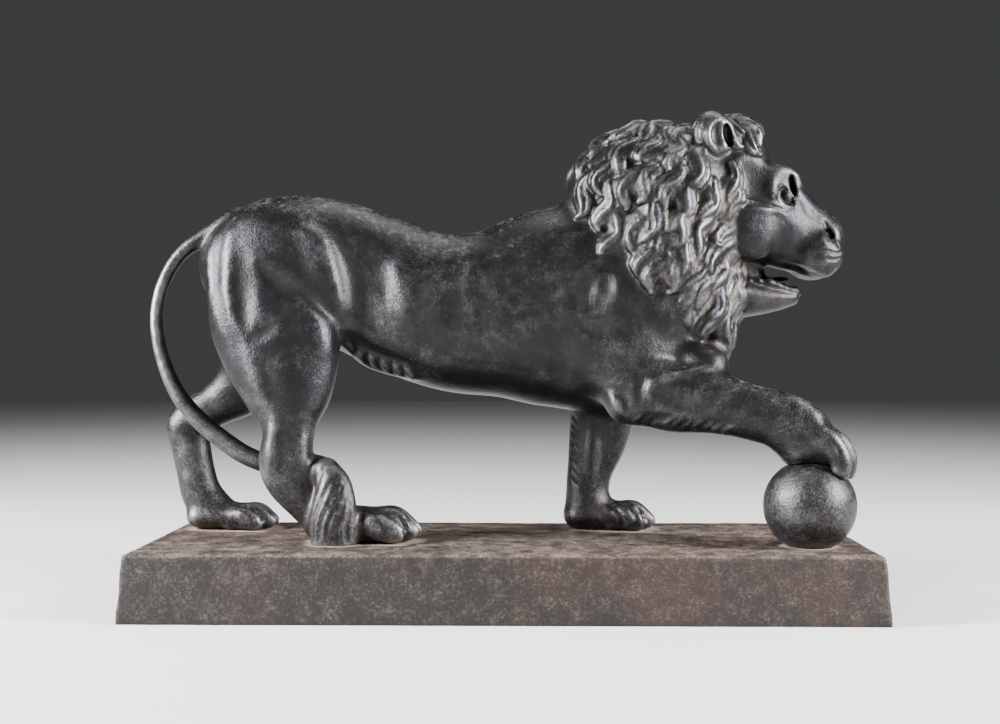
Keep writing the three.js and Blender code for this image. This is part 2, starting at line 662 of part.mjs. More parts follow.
// The surface where the field is zero: one vertex in each grid cell that it crosses, moved onto the
// surface, and one square face over each grid line that it crosses.
function skinOf(field, xs, ys, zs) {
  const [nx, ny, nz] = [xs.length, ys.length, zs.length];
  const at = (i, j, k) => (i * ny + j) * nz + k;
  const value = new Float64Array(nx * ny * nz);
  for (let i = 0; i < nx; i++)
    for (let j = 0; j < ny; j++) for (let k = 0; k < nz; k++) value[at(i, j, k)] = field(xs[i], ys[j], zs[k]);
  const outermost = (n, count) => n === 0 || n === count - 1;
  for (let i = 0; i < nx; i++)
    for (let j = 0; j < ny; j++)
      for (let k = 0; k < nz; k++)
        if (outermost(i, nx) || outermost(j, ny) || outermost(k, nz)) {
          value[at(i, j, k)] = Math.max(value[at(i, j, k)], 1);
        }
  fillPinches(value, [nx, ny, nz], at);

  const vertexOf = new Int32Array(nx * ny * nz).fill(-1);
  const points = [];
  const corners = [0, 1, 2, 3, 4, 5, 6, 7].map((n) => [n & 1, (n >> 1) & 1, n >> 2]);
  const edges = [];
  for (let a = 0; a < 8; a++) for (const bit of [1, 2, 4]) if (!(a & bit)) edges.push([a, a | bit]);
  for (let i = 0; i + 1 < nx; i++)
    for (let j = 0; j + 1 < ny; j++)
      for (let k = 0; k + 1 < nz; k++) {
        const v = corners.map(([a, b, c]) => value[at(i + a, j + b, k + c)]);
        const crossings = edges.filter(([a, b]) => v[a] < 0 !== v[b] < 0);
        if (!crossings.length) continue;
        const sum = [0, 0, 0];
        for (const [a, b] of crossings) {
          const t = v[a] / (v[a] - v[b]);
          const [ca, cb] = [corners[a], corners[b]];
          sum[0] += lerp(xs[i + ca[0]], xs[i + cb[0]], t);
          sum[1] += lerp(ys[j + ca[1]], ys[j + cb[1]], t);
          sum[2] += lerp(zs[k + ca[2]], zs[k + cb[2]], t);
        }
        const room = 0.3 * Math.min(xs[i + 1] - xs[i], ys[j + 1] - ys[j], zs[k + 1] - zs[k]);
        vertexOf[at(i, j, k)] = points.length / 3;
        points.push(...ontoSurface(field, sum.map((s) => s / crossings.length), room));
      }

  const triangles = [];
  const square = (a, b, c, d, outward) => {
    const ring = outward ? [a, b, c, d] : [d, c, b, a];
    const gap = (m, n) => Math.hypot(...[0, 1, 2].map((e) => points[3 * ring[m] + e] - points[3 * ring[n] + e]));
    const order = gap(0, 2) < gap(1, 3) ? [0, 1, 2, 0, 2, 3] : [1, 2, 3, 1, 3, 0];
    triangles.push(...order.map((n) => ring[n]));
  };
  for (let i = 1; i + 1 < nx; i++)
    for (let j = 1; j + 1 < ny; j++)
      for (let k = 1; k + 1 < nz; k++) {
        const here = value[at(i, j, k)] < 0;
        const cell = (a, b, c) => vertexOf[at(i - a, j - b, k - c)];
        const changes = (a, b, c) => here !== value[at(i + a, j + b, k + c)] < 0;
        if (changes(1, 0, 0)) square(cell(0, 1, 1), cell(0, 0, 1), cell(0, 0, 0), cell(0, 1, 0), here);
        if (changes(0, 1, 0)) square(cell(1, 0, 1), cell(1, 0, 0), cell(0, 0, 0), cell(0, 0, 1), here);
        if (changes(0, 0, 1)) square(cell(1, 1, 0), cell(0, 1, 0), cell(0, 0, 0), cell(1, 0, 0), here);
      }
  return new THREE.BufferGeometry()
    .setAttribute("position", new THREE.BufferAttribute(new Float32Array(points), 3))
    .setIndex(triangles);
}

// Where the inside meets itself only across the diagonal of a grid square, the nearer outside corner
// is filled in, so that no edge belongs to more than two faces.
function fillPinches(value, size, at) {
  const step = [
    [1, 0, 0],
    [0, 1, 0],
    [0, 0, 1],
  ];
  for (let again = true; again; ) {
    again = false;
    for (const [a, b] of [[0, 1], [1, 2], [0, 2]]) {
      for (let i = 0; i + step[a][0] + step[b][0] < size[0]; i++)
        for (let j = 0; j + step[a][1] + step[b][1] < size[1]; j++)
          for (let k = 0; k + step[a][2] + step[b][2] < size[2]; k++) {
            const along = (m, n) => at(...[i, j, k].map((v, e) => v + m * step[a][e] + n * step[b][e]));
            const ring = [along(0, 0), along(1, 0), along(1, 1), along(0, 1)];
            const inside = ring.map((n) => value[n] < 0);
            if (inside[0] === inside[2] && inside[1] === inside[3] && inside[0] !== inside[1]) {
              const open = ring.filter((n) => value[n] >= 0).sort((m, n) => value[m] - value[n]);
              value[open[0]] = -0.05;
              again = true;
            }
          }
    }
  }
}

function ontoSurface(field, start, room) {
  const e = 0.05;
  const p = [...start];
  for (let pass = 0; pass < 3; pass++) {
    const d = field(...p);
    const slope = [
      (field(p[0] + e, p[1], p[2]) - field(p[0] - e, p[1], p[2])) / (2 * e),
      (field(p[0], p[1] + e, p[2]) - field(p[0], p[1] - e, p[2])) / (2 * e),
      (field(p[0], p[1], p[2] + e) - field(p[0], p[1], p[2] - e)) / (2 * e),
    ];
    const steep = slope[0] ** 2 + slope[1] ** 2 + slope[2] ** 2;
    if (steep < 1e-6) break;
    for (let n = 0; n < 3; n++) p[n] -= (d * slope[n]) / steep;
  }
  return p.map((v, n) => Math.min(start[n] + room, Math.max(start[n] - room, v)));
}

// Fewer triangles for the same form: the edge whose loss bends the surface least goes first, until
// the wanted number of faces is left.
function simplified(geometry, wanted) {
  const place = geometry.attributes.position;
  const points = Array.from({ length: place.count }, (_, n) => [place.getX(n), place.getY(n), place.getZ(n)]);
  const faces = [];
  const facesOf = points.map(() => new Set());
  for (let n = 0; n < geometry.index.count; n += 3) {
    const face = [0, 1, 2].map((e) => geometry.index.getX(n + e));
    face.forEach((v) => facesOf[v].add(faces.length));
    faces.push(face);
  }
  const planeOf = (a, b, c) => {
    const [u, v] = [b, c].map((p) => p.map((value, n) => value - a[n]));
    const normal = [u[1] * v[2] - u[2] * v[1], u[2] * v[0] - u[0] * v[2], u[0] * v[1] - u[1] * v[0]];
    const area = Math.hypot(...normal) || 1e-12;
    const unit = normal.map((value) => value / area);
    return { unit, area, offset: -(unit[0] * a[0] + unit[1] * a[1] + unit[2] * a[2]) };
  };
  // The sum of squared distances to a vertex's planes, as the ten numbers of a symmetric matrix
  const bends = points.map(() => new Float64Array(10));
  for (const face of faces) {
    const { unit, area, offset } = planeOf(...face.map((v) => points[v]));
    const q = [...unit, offset];
    const [x, , up] = points[face[0]];
    const care = area * (x > FINE_FROM.x && up > FINE_FROM.up ? 3.5 : 1);
    let slot = 0;
    for (let m = 0; m < 4; m++)
      for (let n = m; n < 4; n++, slot++) for (const v of face) bends[v][slot] += care * q[m] * q[n];
  }
  const costAt = (a, b, p) => {
    const q = [...p, 1];
    let [sum, slot] = [0, 0];
    for (let m = 0; m < 4; m++)
      for (let n = m; n < 4; n++, slot++) {
        sum += (bends[a][slot] + bends[b][slot]) * q[m] * q[n] * (m === n ? 1 : 2);
      }
    return sum;
  };
  const heap = [];
  const swap = (m, n) => ([heap[m], heap[n]] = [heap[n], heap[m]]);
  const push = (item) => {
    heap.push(item);
    for (let n = heap.length - 1; n > 0; ) {
      const up = (n - 1) >> 1;
      if (heap[up].cost <= heap[n].cost) break;
      swap(n, up);
      n = up;
    }
  };
  const pop = () => {
    const top = heap[0];
    const last = heap.pop();
    if (heap.length) {
      heap[0] = last;
      for (let n = 0; ; ) {
        const children = [2 * n + 1, 2 * n + 2].filter((m) => m < heap.length);
        const below = children.filter((m) => heap[m].cost < heap[n].cost);
        if (!below.length) break;
        const least = below.reduce((m, k) => (heap[k].cost < heap[m].cost ? k : m));
        swap(n, least);
        n = least;
      }
    }
    return top;
  };
  const age = new Int32Array(points.length);
  const offer = (a, b) => {
    const middle = points[a].map((value, n) => (value + points[b][n]) / 2);
    const length = Math.hypot(...points[a].map((value, n) => value - points[b][n]));
    const [best, cost] = [points[a], points[b], middle]
      .map((p) => [p, costAt(a, b, p)])
      .reduce((m, k) => (k[1] < m[1] ? k : m));
    push({ a, b, to: [...best], cost: cost + 1e-4 * length * length, ages: [age[a], age[b]] });
  };
  const neighbours = (v) => new Set([...facesOf[v]].flatMap((f) => faces[f]).filter((w) => w !== v));
  points.forEach((_, v) => neighbours(v).forEach((w) => v < w && offer(v, w)));
  let left = faces.length;
  while (left > wanted && heap.length) {
    const { a, b, to, ages } = pop();
    if (age[a] !== ages[0] || age[b] !== ages[1] || !facesOf[a].size || !facesOf[b].size) continue;
    const [aroundA, aroundB] = [neighbours(a), neighbours(b)];
    const shared = [...aroundA].filter((v) => aroundB.has(v));
    const dying = [...facesOf[a]].filter((f) => facesOf[b].has(f));
    if (shared.length !== 2 || dying.length !== 2) continue;
    const kept = [...facesOf[a], ...facesOf[b]].filter((f) => !dying.includes(f));
    const turns = kept.some((f) => {
      const before = planeOf(...faces[f].map((v) => points[v]));
      const after = planeOf(...faces[f].map((v) => (v === a || v === b ? to : points[v])));
      return before.unit.reduce((sum, value, n) => sum + value * after.unit[n], 0) < 0.3 || after.area < 0.02;
    });
    if (turns) continue;
    for (const f of dying) faces[f].forEach((v) => facesOf[v].delete(f));
    for (const f of facesOf[b]) {
      faces[f] = faces[f].map((v) => (v === b ? a : v));
      facesOf[a].add(f);
    }
    facesOf[b].clear();
    dying.forEach((f) => (faces[f] = null));
    bends[a].forEach((value, n) => (bends[a][n] = value + bends[b][n]));
    points[a] = to;
    left -= 2;
    age[a]++;
    age[b]++;
    for (const v of neighbours(a)) offer(a, v);
  }
  const used = new Map();
  const index = faces.filter(Boolean).flatMap((face) =>
    face.map((v) => {
      if (!used.has(v)) used.set(v, used.size);
      return used.get(v);
    }),
  );
  const places = new Float32Array([...used.keys()].flatMap((v) => points[v]));
  return new THREE.BufferGeometry().setAttribute("position", new THREE.BufferAttribute(places, 3)).setIndex(index);
}

// Solids in manifold-3d and back
function solidOf(geometry) {
  const bare = geometry.clone();
  bare.deleteAttribute("normal");
  bare.deleteAttribute("uv");
  const merged = mergeVertices(bare, 1e-4);
  return new wasm.Manifold(
    new wasm.Mesh({
      numProp: 3,
      vertProperties: merged.attributes.position.array,
      triVerts: new Uint32Array(merged.index.array),
    }),
  );
}

function geometryOf(solid) {
  const mesh = solid.getMesh();
  return new THREE.BufferGeometry()
    .setAttribute("position", new THREE.BufferAttribute(mesh.vertProperties, 3))
    .setIndex(new THREE.BufferAttribute(mesh.triVerts, 1));
}

function largestOf(solid) {
  return solid.decompose().sort((a, b) => b.volume() - a.volume())[0];
}

function slabBelow(height) {
  const depth = 60;
  return solidOf(new THREE.BoxGeometry(800, 400, depth).translate(0, 0, height - depth / 2));
}

function ballGeometry(radius) {
  const foot = Math.asin(-BALL_CENTRE.up / BALL_RADIUS);
  const rows = 14;
  const profile = [new THREE.Vector2(0, radius * Math.sin(foot))];
  for (let n = 0; n <= rows; n++) {
    const angle = lerp(foot, Math.PI / 2, n / rows);
    profile.push(new THREE.Vector2(n === rows ? 0 : radius * Math.cos(angle), radius * Math.sin(angle)));
  }
  return new THREE.LatheGeometry(profile, 26)
    .rotateX(Math.PI / 2)
    .translate(BALL_CENTRE.x, BALL_CENTRE.y, PLINTH_HEIGHT + BALL_CENTRE.up);
}

function plinthGeometry() {
  const [halfLength, halfWidth] = [PLINTH_LENGTH / 2 - PLINTH_ARRIS, PLINTH_WIDTH / 2 - PLINTH_ARRIS];
  const corner = PLINTH_CORNER - PLINTH_ARRIS;
  const outline = new THREE.Shape();
  [
    [1, 1],
    [-1, 1],
    [-1, -1],
    [1, -1],
  ].forEach(([sx, sy], n) => {
    const [x, y] = [sx * (halfLength - corner), sy * (halfWidth - corner)];
    outline.absarc(x, y, corner, (n * Math.PI) / 2, ((n + 1) * Math.PI) / 2);
  });
  const block = new THREE.ExtrudeGeometry(outline, {
    depth: PLINTH_HEIGHT - PLINTH_ARRIS,
    bevelThickness: PLINTH_ARRIS,
    bevelSize: PLINTH_ARRIS,
    bevelSegments: 3,
    curveSegments: 5,
  });
  const place = block.attributes.position;
  for (let n = 0; n < place.count; n++) {
    const lean = PLINTH_DRAFT * (1 - place.getZ(n) / PLINTH_HEIGHT);
    place.setX(n, place.getX(n) * (1 + lean / (PLINTH_LENGTH / 2)));
    place.setY(n, place.getY(n) * (1 + lean / (PLINTH_WIDTH / 2)));
  }
  return geometryOf(solidOf(block).subtract(slabBelow(0)));
}

function lionGeometry() {
  const xs = gridLines([[-160, 2.9], [18, 1.9], [156]]);
  const ys = gridLines([[-58, 2.2], [50]]);
  const zs = gridLines([[-17, 2.4], [18, 2.9], [74, 1.9], [192]]);
  const skin = simplified(skinOf(lionField, xs, ys, zs), LION_FACES).translate(0, LION_SIDE, PLINTH_HEIGHT);
  const clearance = ballGeometry(BALL_RADIUS + REST_GAP);
  return geometryOf(largestOf(solidOf(skin).subtract(slabBelow(PLINTH_HEIGHT)).subtract(solidOf(clearance))));
}

const figureIron = new THREE.MeshStandardMaterial({ color: 0x2c2b2d, roughness: 0.42, metalness: 0.9 });
const plinthIron = new THREE.MeshStandardMaterial({ color: 0x3a3431, roughness: 0.62, metalness: 0.75 });

function part(name, geometry, material) {
  const mesh = new THREE.Mesh(geometry, material);
  mesh.name = name;
  return mesh;
}

const statue = new THREE.Group();
statue.add(part("plinth", plinthGeometry(), plinthIron));
statue.add(part("ball", ballGeometry(BALL_RADIUS), figureIron));
statue.add(part("lion", lionGeometry(), figureIron));

export default statue;
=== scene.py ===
# Cast iron lion with a forepaw on a ball, on its plinth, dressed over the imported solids.
# The tables are in millimetres, and the meshes in metres. +X is the way the lion faces and +Z is up.
# "Up" is measured from the plinth's top and "side" from the lion's middle; minus is its right side.
import math

import bmesh
import bpy
import numpy as np
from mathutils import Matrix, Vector


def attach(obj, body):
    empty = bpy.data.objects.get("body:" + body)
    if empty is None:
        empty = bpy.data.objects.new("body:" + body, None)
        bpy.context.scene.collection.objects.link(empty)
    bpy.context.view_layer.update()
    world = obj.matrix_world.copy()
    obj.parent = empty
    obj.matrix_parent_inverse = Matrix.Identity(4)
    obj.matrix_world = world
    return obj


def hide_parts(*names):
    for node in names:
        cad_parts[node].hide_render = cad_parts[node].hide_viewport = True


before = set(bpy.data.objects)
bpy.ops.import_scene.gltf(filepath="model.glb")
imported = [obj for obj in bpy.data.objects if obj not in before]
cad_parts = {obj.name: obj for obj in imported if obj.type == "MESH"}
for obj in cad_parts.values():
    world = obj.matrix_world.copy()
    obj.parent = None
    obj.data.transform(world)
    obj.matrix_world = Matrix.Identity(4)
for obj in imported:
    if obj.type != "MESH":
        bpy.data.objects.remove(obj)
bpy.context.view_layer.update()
bpy.ops.object.select_all(action="DESELECT")

# Driving sizes, the same as the solids'
PLINTH_LENGTH = 300.6
PLINTH_WIDTH = 110
PLINTH_HEIGHT = 27.5
PLINTH_DRAFT = 1.9
PLINTH_CORNER = 4
PLINTH_ARRIS = 1.6
BALL_RADIUS = 19
BALL_CENTRE = (126.3, -26, 16.7)
LION_SIDE = 8
RIGHT, LEFT = -1, 1

# Stations of a limb or trunk: x, side, up, half thickness seen from the side, half thickness across
TORSO = [
    (-112, 0, 118, 22, 16),
    (-98, 0, 120.5, 28, 22),
    (-78, 0, 117, 30.5, 22),
    (-60, 0, 110, 31.5, 20.5),
    (-40, 0, 101.7, 32.7, 22.5),
    (-20, 0, 97.1, 34.6, 25),
    (0, 0, 97.5, 36.9, 26.5),
    (20, 0, 99.5, 43, 27.5),
    (40, 0, 99, 45.5, 28),
    (56, 0, 93, 33, 25),
]
TAIL = [
    (-118, 0, 138, 6, 6),
    (-131, 0, 131.3, 3.7, 3.7),
    (-142, -1, 123.3, 3.1, 3.1),
    (-149, -2, 111.6, 2.9, 2.9),
    (-152.2, -3, 98.3, 2.8, 2.8),
    (-151.3, -4, 85.5, 2.9, 2.9),
    (-147, -5, 71.5, 3.2, 3.2),
    (-141.2, -6, 60.5, 3.6, 3.6),
    (-132.8, -7, 50.8, 3.9, 3.9),
    (-122, -8, 42, 4.1, 4.1),
    (-111, -9, 35, 4.2, 4.2),
    (-98, -10.5, 31, 4.2, 4.2),
    (-87, -12.5, 31.4, 4.4, 4.4),
    (-79.5, -18, 31.6, 4.8, 4.6),
    (-74.5, -25, 30, 5.2, 5),
]
TAIL_TUFT = [
    (-74.5, -25, 30, 5.4, 5),
    (-71, -29, 24.5, 7.4, 5.8),
    (-70.2, -31.3, 17, 9, 6.4),
    (-70.6, -32.3, 8.5, 9.9, 6.4),
    (-70.3, -32.5, -1, 9.6, 6),
]
RIGHT_HIND = [
    (-100, -9, 113, 28, 13),
    (-99, -14, 97, 28, 13.5),
    (-94.5, -18, 79, 24.5, 13),
    (-92, -20, 66, 19.5, 11.5),
    (-91, -21, 55, 13.4, 9.6),
    (-91, -22, 44, 10.9, 8.4),
    (-92.3, -22, 34, 11.6, 8.4),
    (-91, -22, 27, 10.6, 8),
    (-83, -22, 16, 8.6, 7.8),
    (-75, -22, 9, 8.6, 8.8),
]
LEFT_HIND = [
    (-103, 9, 113, 26, 13),
    (-106, 14, 95, 25, 13),
    (-109, 18, 78, 19.5, 12),
    (-119, 21, 65, 13.5, 10),
    (-133, 22, 55.5, 9.8, 8.6),
    (-145, 22, 47, 9.4, 8),
    (-143.4, 22, 38, 9, 7.6),
    (-141, 22, 26, 8.7, 7.6),
    (-138, 22, 15, 9.2, 8),
    (-132, 22, 8, 9, 9),
]
LEFT_FORE = [
    (44, 14, 84, 24, 13),
    (46, 20, 66, 17, 12),
    (44.5, 23, 52, 14.8, 10.5),
    (42, 24, 39, 13, 9.6),
    (38.8, 24, 27, 10.4, 8.4),
    (37.6, 24, 18, 9.8, 8.2),
    (38.5, 24, 10, 10.5, 9.5),
    (44, 24, 6, 8.5, 10),
]
RIGHT_FORE = [
    (50, -13, 88, 26, 13),
    (57.5, -20, 68, 16.5, 12),
    (69, -24, 61.2, 14.8, 11.5),
    (86, -28, 59, 13.2, 10.6),
    (103, -31, 54.8, 11.6, 9.4),
    (115, -33, 51.5, 11.8, 9.2),
    (124, -34, 46.5, 11.8, 9.8),
]

# Rounded masses and hollows: x, side, up, half length, half width, half height, lean in degrees
ELBOW = (52.5, -22.5, 58, 9, 8, 8.8, 0)
MANE_MASSES = [
    (66, 0, 148.5, 39, 29, 31.5, 8),
    (71, 0, 121, 27, 30, 35, 14),
    (82.5, 0, 96.5, 17.5, 21, 25.5, 0),
]
SKULL_MASSES = [
    (99, 0, 155, 17, 19.5, 23, 0),
    (100.5, 0, 169, 12.5, 14, 12.5, 0),
]
PAIRED_MASSES = [
    (104, 11.5, 133, 13, 8.5, 14, 0),
    (119.5, 8.5, 134.5, 9, 6, 7, -25),
    (135.5, 6.4, 121.6, 11, 7.6, 9.8, 8),
]
NOSE_PAD = (143, 0, 130, 4.8, 7.4, 7.2, 0)
EYE_SOCKET = (120.8, 14.1, 146.9, 4.8, 3.4, 3.3, -58)
INNER_CORNER = (123.8, 7.8, 150.8, 1.5, 3.4, 6.8, 9)
TEMPLE = (107.3, 21.2, 153, 8.6, 5.8, 8.8, 0)
EYE = (120.8, 10, 146.9, 3.9, 2.7, 2.5, -58)
NOSTRIL = (140.6, 7.6, 130.8, 1, 1.8, 2.2, 25)
FACE = [
    (96, 0, 144, 25, 20),
    (109, 0, 142, 22.6, 17.5),
    (121, 0, 135, 18.2, 13),
    (131, 0, 128.6, 15.3, 10.5),
]
NOSE_BRIDGE = [
    (116, 0, 150, 9, 6.5),
    (129, 0, 139, 6.6, 5.6),
    (140, 0, 132.5, 6.2, 5.6),
]
LOWER_JAW = [
    (96, 0, 105, 11, 15),
    (110, 0, 103.8, 7.6, 12),
    (119, 0, 103.6, 5.4, 9.6),
    (125, 0, 103.8, 3.6, 7.2),
]
BROW = [
    (112, 10.5, 157, 4.4, 4),
    (119, 9.4, 156.8, 4, 3.4),
    (124.6, 6.4, 155, 3.4, 3),
    (127, 3.4, 152, 3, 2.8),
]
ARMPIT = (85, -21, 75.5, 10, 9, 7, 0)
EAR = (88.4, 16.5, 172, 9.6, 6, 10.6, 0)
EAR_HOLLOW = [(95, 20, 171.6, 2, 6.2, 5, 12), (90.8, 23.4, 171.8, 4.4, 3.4, 7, 12)]
THROAT = (103, 0, 114, 11, 3.6, 8, 0)
TONGUE = (112, 0, 108.8, 13, 5.5, 3, 14)
JAW_HOLLOW = (118, 0, 110.6, 11, 6, 4.2, 15)

# The crust along the lower lip: its line, one grain's half size, and how far size and height vary
LIP_RIM = [
    (106, 8.6, 111),
    (114, 7.6, 109.6),
    (119, 6.6, 108.2),
    (124, 5.2, 106.9),
    (127.2, 2.6, 105.8),
    (127.9, 0, 105.6),
]
LIP_GRAIN = 1.7
LIP_GRAIN_VARIES = 0.6
LIP_HEIGHT_VARIES = 0.4

# Where dust lies thick or thin, and where the lower jaw is painted dark as shade: the middle of each place
# and how far it reaches
MOUTH = (117, 0, 107.5)
MOUTH_REACH = (15, 12, 4)
JAW = (114, 0, 100)
JAW_REACH = (15, 15, 8)
JAW_PAINTED_SHADE = 1.5  # painted shade: the lower jaw's sides, under the head, are kept dark and unrubbed
JAW_DUST = 0.4
EAR_MIDDLE = (93, 20, 171)
EAR_CLEAN = 8
LEG_DUST = 0.5
LEG_DUST_TOP = 42
LEG_DUST_DEPTH = 36
# Toes from one side of a paw to the other: place across, how far forward, height of the knuckle
TOES = [(-1.5, 0.86, 0.52), (-0.5, 0.99, 0.64), (0.5, 1, 0.66), (1.5, 0.88, 0.54)]
GRIP_SIDE = -34
PAWS = [
    dict(x=-77, side=-22, length=41.5, height=14.5, width=26),
    dict(x=-139, side=22, length=35, height=11.5, width=24),
    dict(x=33, side=24, length=35, height=12.5, width=25),
]

# Muscles, tendons and folds: x and up of each point as seen from the side, half width, height
THIGH_FOLDS = [
    ([(-124.8, 133), (-125.6, 114.3), (-121.5, 97), (-115, 84)], 4.2, 1.3),
    ([(-117, 131), (-117.6, 113), (-114.6, 98), (-109, 86)], 4.6, 1.5),
    ([(-110, 122), (-109, 104), (-109.5, 88)], 5.5, -1.4),
    ([(-86, 131), (-80.5, 128), (-76, 119), (-72, 109), (-70, 96)], 7, 2.8),
    ([(-87, 101.5), (-81, 95.5), (-76.5, 88), (-75, 80)], 7, 2.3),
    ([(-103, 117), (-94.6, 110.5), (-84.7, 105), (-75, 96)], 4.6, -1.7),
    ([(-106.2, 85), (-99.8, 87.5), (-94.4, 94.2)], 3, -1),
    ([(-102, 112), (-92, 107)], 9, -1.1),
    ([(-108, 82), (-104.5, 70), (-99.5, 58)], 5, 0.9),
    ([(-99, 80), (-96.5, 68), (-94.5, 58)], 5, -0.7),
    ([(-95.5, 53), (-98.5, 35)], 3.6, 1.3),
    ([(-90, 50), (-93, 30)], 3, -1.3),
    ([(-84, 46), (-83.5, 34), (-80, 24)], 3.8, 1.1),
]
TRUNK_FOLDS = [
    ([(-62, 122), (-56, 110), (-51, 95)], 12, -2),
    ([(-72, 128), (-66, 117), (-62, 104), (-55, 92)], 6.5, -2.2),
    ([(-47, 118), (-43.2, 108), (-42.6, 95)], 7, 1.5),
    ([(-67, 82), (-61, 76.2), (-49.4, 72), (-37, 69)], 3.8, 2.5),
    ([(-66, 88), (-60, 82.5), (-49.5, 77.8), (-40, 75)], 3.2, -1.1),
    ([(-69.6, 89.5), (-66, 84), (-64.4, 79)], 1.5, -1.8),
    ([(-31, 112), (-33, 96), (-30, 82)], 5, -0.5),
    ([(-18, 114), (-20, 98), (-16, 82)], 5, -0.5),
    ([(-5, 114), (-7, 98), (-3, 82)], 5, -0.5),
    ([(42.5, 112), (41.5, 105), (38, 96)], 5, 2.3),
    ([(22, 104), (29.5, 97), (33, 88)], 6, 1.4),
    ([(30, 92.5), (40, 91), (50, 93)], 4.5, -1.5),
    ([(27, 84), (25, 74), (27, 66)], 7, -1.6),
    ([(43, 84), (48.5, 82.5), (54, 85)], 5.5, 1.2),
    ([(64, 99), (71, 93), (78, 88)], 8, 2.2),
    ([(66, 81), (75, 81), (84, 83)], 4.5, 1.4),
]
ARM_FOLDS = [
    ([(60.5, 71.5), (69, 73.5), (78, 76), (86, 77.5)], 3.2, -0.9),
    ([(59.3, 61), (60.8, 65.5), (66, 68.6), (78.5, 71.9), (86, 73.2)], 3, 1.7),
    ([(65, 66), (70, 61), (78, 57), (88, 55)], 5, -1.2),
    ([(44.4, 64.8), (49.4, 62), (52.5, 56.3)], 3, -1.3),
    ([(54, 58), (57.5, 64), (57, 71)], 3, -0.8),
    ([(68, 51), (80, 50), (93, 51)], 4.4, -1),
    ([(118, 61), (124, 58), (129, 52)], 5, 1.3),
    ([(46.5, 66), (46, 60), (48, 54)], 3.6, 0.8),
    ([(51, 66), (51.6, 60), (50.6, 54.4)], 2.6, -0.8),
    ([(56, 53), (63, 52), (70, 54)], 3, -0.9),
]
STANDING_LEG_FOLDS = [
    ([(36.5, 66), (37, 50), (37, 30), (36, 20)], 2.6, 1.2),
    ([(40, 64), (40.5, 46), (39.5, 30)], 2.2, -1.4),
    ([(44, 64), (43, 50), (40.8, 33), (41, 22)], 2.8, 1.1),
]
LEFT_THIGH_FOLDS = [
    ([(-127, 128), (-131, 110), (-135, 92), (-140, 74)], 5, 1.4),
    ([(-120, 128), (-123, 110), (-127, 92), (-131, 76)], 3, -1.4),
    ([(-86, 131), (-81, 122), (-80, 108), (-84, 92)], 7.5, 2.4),
    ([(-98, 88), (-103, 78), (-113, 66)], 6, 1.4),
    ([(-102, 116), (-95, 108)], 10, -1.4),
    ([(-146, 44), (-146.5, 30)], 3.4, 1.2),
    ([(-139, 44), (-139, 28)], 3, -1.1),
]
INNER_LEG_FOLDS = [
    ([(39, 50.5), (37.4, 39), (36.4, 23)], 2, 1.3),
    ([(40.2, 50), (39.4, 36), (38, 22)], 1.5, -1.2),
    ([(42.2, 50), (41.2, 32), (39.6, 18.5)], 2.2, 1.2),
]
TUFT_STRANDS = [
    ([(-69.5, 29), (-74.5, 20), (-78.6, 10), (-79, 1)], 1.3, -1.5),
    ([(-67.6, 28), (-71.6, 18), (-75.2, 9), (-75.8, 1)], 1.3, -1.6),
    ([(-65.8, 26.6), (-68.8, 17), (-72, 8), (-72.2, 1)], 1.3, -1.6),
    ([(-64.2, 24.4), (-66, 15), (-68.4, 7), (-68.2, 1)], 1.3, -1.5),
    ([(-63, 21.6), (-63.4, 14), (-64.6, 7), (-64.2, 1)], 1.2, -1.3),
    ([(-74.4, 33.6), (-77, 25), (-78.6, 18)], 1.1, -1),
]
PAW_LINES = [
    ([(-55.4, 14.2), (-51, 10), (-47.6, 2)], 1.2, -1.3),
    ([(-47.4, 13.6), (-42.6, 10), (-40.8, 3)], 1.1, -1.2),
    ([(-42, 12.6), (-38.4, 8.4), (-37, 4)], 1, -1),
    ([(-60, 12.6), (-54, 13.6), (-49, 13.4)], 1.2, 0.7),
    ([(48, 11.6), (52, 7.4), (52.4, 1.4)], 1.1, -1.2),
    ([(54.6, 11.8), (58.4, 7.4), (58.6, 1.4)], 1.1, -1.3),
    ([(59.4, 10), (62.4, 6), (62.8, 1.4)], 1, -1.2),
    ([(-117.6, 10), (-113.6, 6.4), (-112.4, 1.4)], 1.1, -1.1),
    ([(-112.6, 9.4), (-109.2, 6), (-108.4, 1.4)], 1, -1),
    ([(131.3, 45.8), (135.1, 40.2), (136.1, 33.3)], 1, -0.8),
]
# Short tufts of hair, and the ribs on the loose skin in front of the thigh: where a row of them starts
# and ends, each one's lean, how many, half width, height
HAIR_ROWS = [
    ((31.8, 50), (31, 22), (3.4, -5), 8, 1.1, -0.7),
    ((56, 52), (92, 48.6), (-4.4, -3.4), 10, 1.2, 0.7),
    ((-62, 78.4), (-41, 71.2), (2.6, -5.6), 5, 1.9, 1.8),
]
